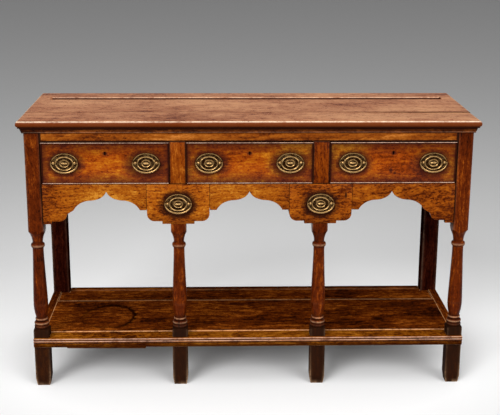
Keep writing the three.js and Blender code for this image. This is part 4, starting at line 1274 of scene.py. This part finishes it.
class DRESSER_OT_pot_board(bpy.types.Operator):
    """Makes the rails and boards of the pot board"""

    bl_idname = "dresser.pot_board"
    bl_label = "Pot board"

    def execute(self, context):
        arris = context.scene.dresser_sizes.arris
        pieces = (
            ("pot_rail_front", "x", 0.4 * arris, "pot_rail"),
            ("pot_rail_left", "y", arris, "pot_board"),
            ("pot_rail_right", "y", arris, "pot_board"),
            ("pot_rail_back", "x", arris, "pot_board"),
            ("pot_board_main", "x", 2 * arris, "pot_mark"),
            ("pot_board_back", "x", 2.5 * arris, "pot_board"),
        )
        for node, axis, width, kind in pieces:
            # Rubbed arrises carry a painted highlight, the rail's reeds painted shade below
            mesh = eased_copy(node, width, wear=0.9, proud=0.85)
            edges = [corner[1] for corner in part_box(node)]
            for end, near, far, label, amount in PAINTED_LIGHT_STRIPS.get(node, ()):
                paint_light_strip(mesh, edges[end] + near * MM, edges[end] + far * MM, label, amount)
            if node == "pot_rail_front":
                hang_strip(mesh)
            elif node == "pot_board_main":
                age_and_shade_along(mesh, POT_BOARD_AGES_AND_SHADE)
            put(f"{node}_oak", mesh, kind, node, axis=axis)
        return {"FINISHED"}


class DRESSER_OT_stage(bpy.types.Operator):
    """Makes the pale floor, the soft studio light and the camera"""

    bl_idname = "dresser.stage"
    bl_label = "Stage"

    def execute(self, context):
        scene = context.scene
        self.make_floor(scene)
        self.make_lights(scene)
        self.make_camera(scene)
        scene.view_settings.view_transform = "Standard"
        return {"FINISHED"}

    def make_floor(self, scene):
        mesh = bpy.data.meshes.new("studio_floor")
        with reworked(mesh) as work:
            bmesh.ops.create_circle(work, cap_ends=True, segments=96, radius=60.0)
        floor = bpy.data.objects.new("studio_floor", mesh)
        scene.collection.objects.link(floor)
        material, tree = new_material("matt studio paper")
        mesh.materials.append(material)
        # A painted pool of light, white round the piece and mid grey far away:
        # grey + glow / (1 + r ** fall), at most white
        grey, glow, fall, white = 0.125, 1.99, 1.08, 0.96
        shift, stretch = (0.0, -0.085, 0.0), (1.64, 2.13, 0.0)
        place = add(tree, "VectorMath", add(tree, "NewGeometry"), shift, operation="ADD")
        place = add(tree, "VectorMath", place, stretch, operation="MULTIPLY")
        level = add(tree, "VectorMath", place, operation="LENGTH", out=1)
        level = add(tree, "Math", level, fall, operation="POWER")
        level = add(tree, "Math", level, 1.0, operation="ADD")
        level = add(tree, "Math", glow, level, operation="DIVIDE")
        level = add(tree, "Math", level, grey, operation="ADD")
        level = add(tree, "Math", level, white, operation="MINIMUM")
        paper = add(tree, "BsdfDiffuse", level)
        # A dark carpet for the light it throws back on the piece
        carpet = add(tree, "BsdfDiffuse", (0.15, 0.15, 0.15))
        paper = add(tree, "MixShader", self.seen(tree), carpet, paper)
        add(tree, "OutputMaterial", paper, out=None)

    def seen(self, tree):
        """1 for what the camera sees, also in a reflection or through glass, or else 0."""
        path = add(tree, "LightPath", out=None).outputs
        seen = path["Is Camera Ray"]
        for ray in ("Is Glossy Ray", "Is Transmission Ray"):
            seen = add(tree, "Math", seen, path[ray], operation="MAXIMUM")
        return seen

    def make_lights(self, scene):
        world = bpy.data.worlds.new("studio_air")
        world.use_nodes = True
        tree = world.node_tree
        tree.nodes.clear()
        light = add(tree, "Background", (1.0, 1.0, 1.0), 0.25)
        grey = add(tree, "Background", (0.205, 0.205, 0.205), 1.0)
        air = add(tree, "MixShader", self.seen(tree), light, grey)
        add(tree, "OutputWorld", air, out=None)
        scene.world = world
        # Name, direction towards the light, strength, and spread in degrees
        suns = (
            ("soft_light_left", (-0.5, -0.85, 0.5), 2.1, 30),
            ("soft_light_right", (0.55, -0.8, 0.42), 1.35, 40),
            ("soft_light_above", (0.0, -0.3, 1.0), 1.4, 80),
        )
        for name, towards, strength, spread in suns:
            light = bpy.data.lights.new(name, "SUN")
            light.energy = strength
            light.angle = math.radians(spread)
            lamp = bpy.data.objects.new(name, light)
            lamp.rotation_euler = Vector(towards).to_track_quat("Z", "Y").to_euler()
            scene.collection.objects.link(lamp)

    def make_camera(self, scene):
        yaw, pitch, roll = (math.radians(a) for a in (1.70, 15.56, 0.25))
        across, height, distance = -0.092, 1.457, 3.147
        level = math.cos(pitch)
        forward = Vector((math.sin(yaw) * level, math.cos(yaw) * level, -math.sin(pitch)))
        right = Vector((math.cos(yaw), -math.sin(yaw), 0.0))
        up = right.cross(forward)
        leaning_right = math.cos(roll) * right + math.sin(roll) * up
        leaning_up = -math.sin(roll) * right + math.cos(roll) * up
        turn = Matrix((leaning_right, leaning_up, -forward)).transposed().to_4x4()
        camera = bpy.data.cameras.new("studio_camera")
        camera.sensor_width = 36.0
        camera.sensor_fit = "HORIZONTAL"
        camera.lens = 77.77
        camera.clip_end = 200.0
        eye = bpy.data.objects.new("studio_camera", camera)
        eye.matrix_world = Matrix.Translation((across, FACE - distance, height)) @ turn
        scene.collection.objects.link(eye)
        scene.camera = eye


class DRESSER_PT_panel(bpy.types.Panel):
    """Lists the steps that make the dresser"""

    bl_idname = "DRESSER_PT_panel"
    bl_label = "Dresser base"
    bl_space_type = "VIEW_3D"
    bl_region_type = "UI"
    bl_category = "Dresser"

    def draw(self, context):
        layout = self.layout
        for group in (context.scene.dresser_sizes, context.scene.dresser_finishes):
            for key in group.__annotations__:
                layout.prop(group, key)
        for operator in OPERATORS:
            layout.operator(operator.bl_idname)


OPERATORS = (
    DRESSER_OT_stage,
    DRESSER_OT_top,
    DRESSER_OT_legs,
    DRESSER_OT_frieze,
    DRESSER_OT_long_drawers,
    DRESSER_OT_spice_drawers,
    DRESSER_OT_handles,
    DRESSER_OT_pot_board,
)
CLASSES = (DresserSizes, DresserFinishes, *OPERATORS, DRESSER_PT_panel)


def register():
    for cls in CLASSES:
        bpy.utils.register_class(cls)
    bpy.types.Scene.dresser_sizes = bpy.props.PointerProperty(type=DresserSizes)
    bpy.types.Scene.dresser_finishes = bpy.props.PointerProperty(type=DresserFinishes)


def unregister():
    del bpy.types.Scene.dresser_finishes
    del bpy.types.Scene.dresser_sizes
    for cls in reversed(CLASSES):
        bpy.utils.unregister_class(cls)


def main():
    register()
    for operator in OPERATORS:
        group, step = operator.bl_idname.split(".")
        getattr(getattr(bpy.ops, group), step)()


if __name__ == "__main__":
    main()
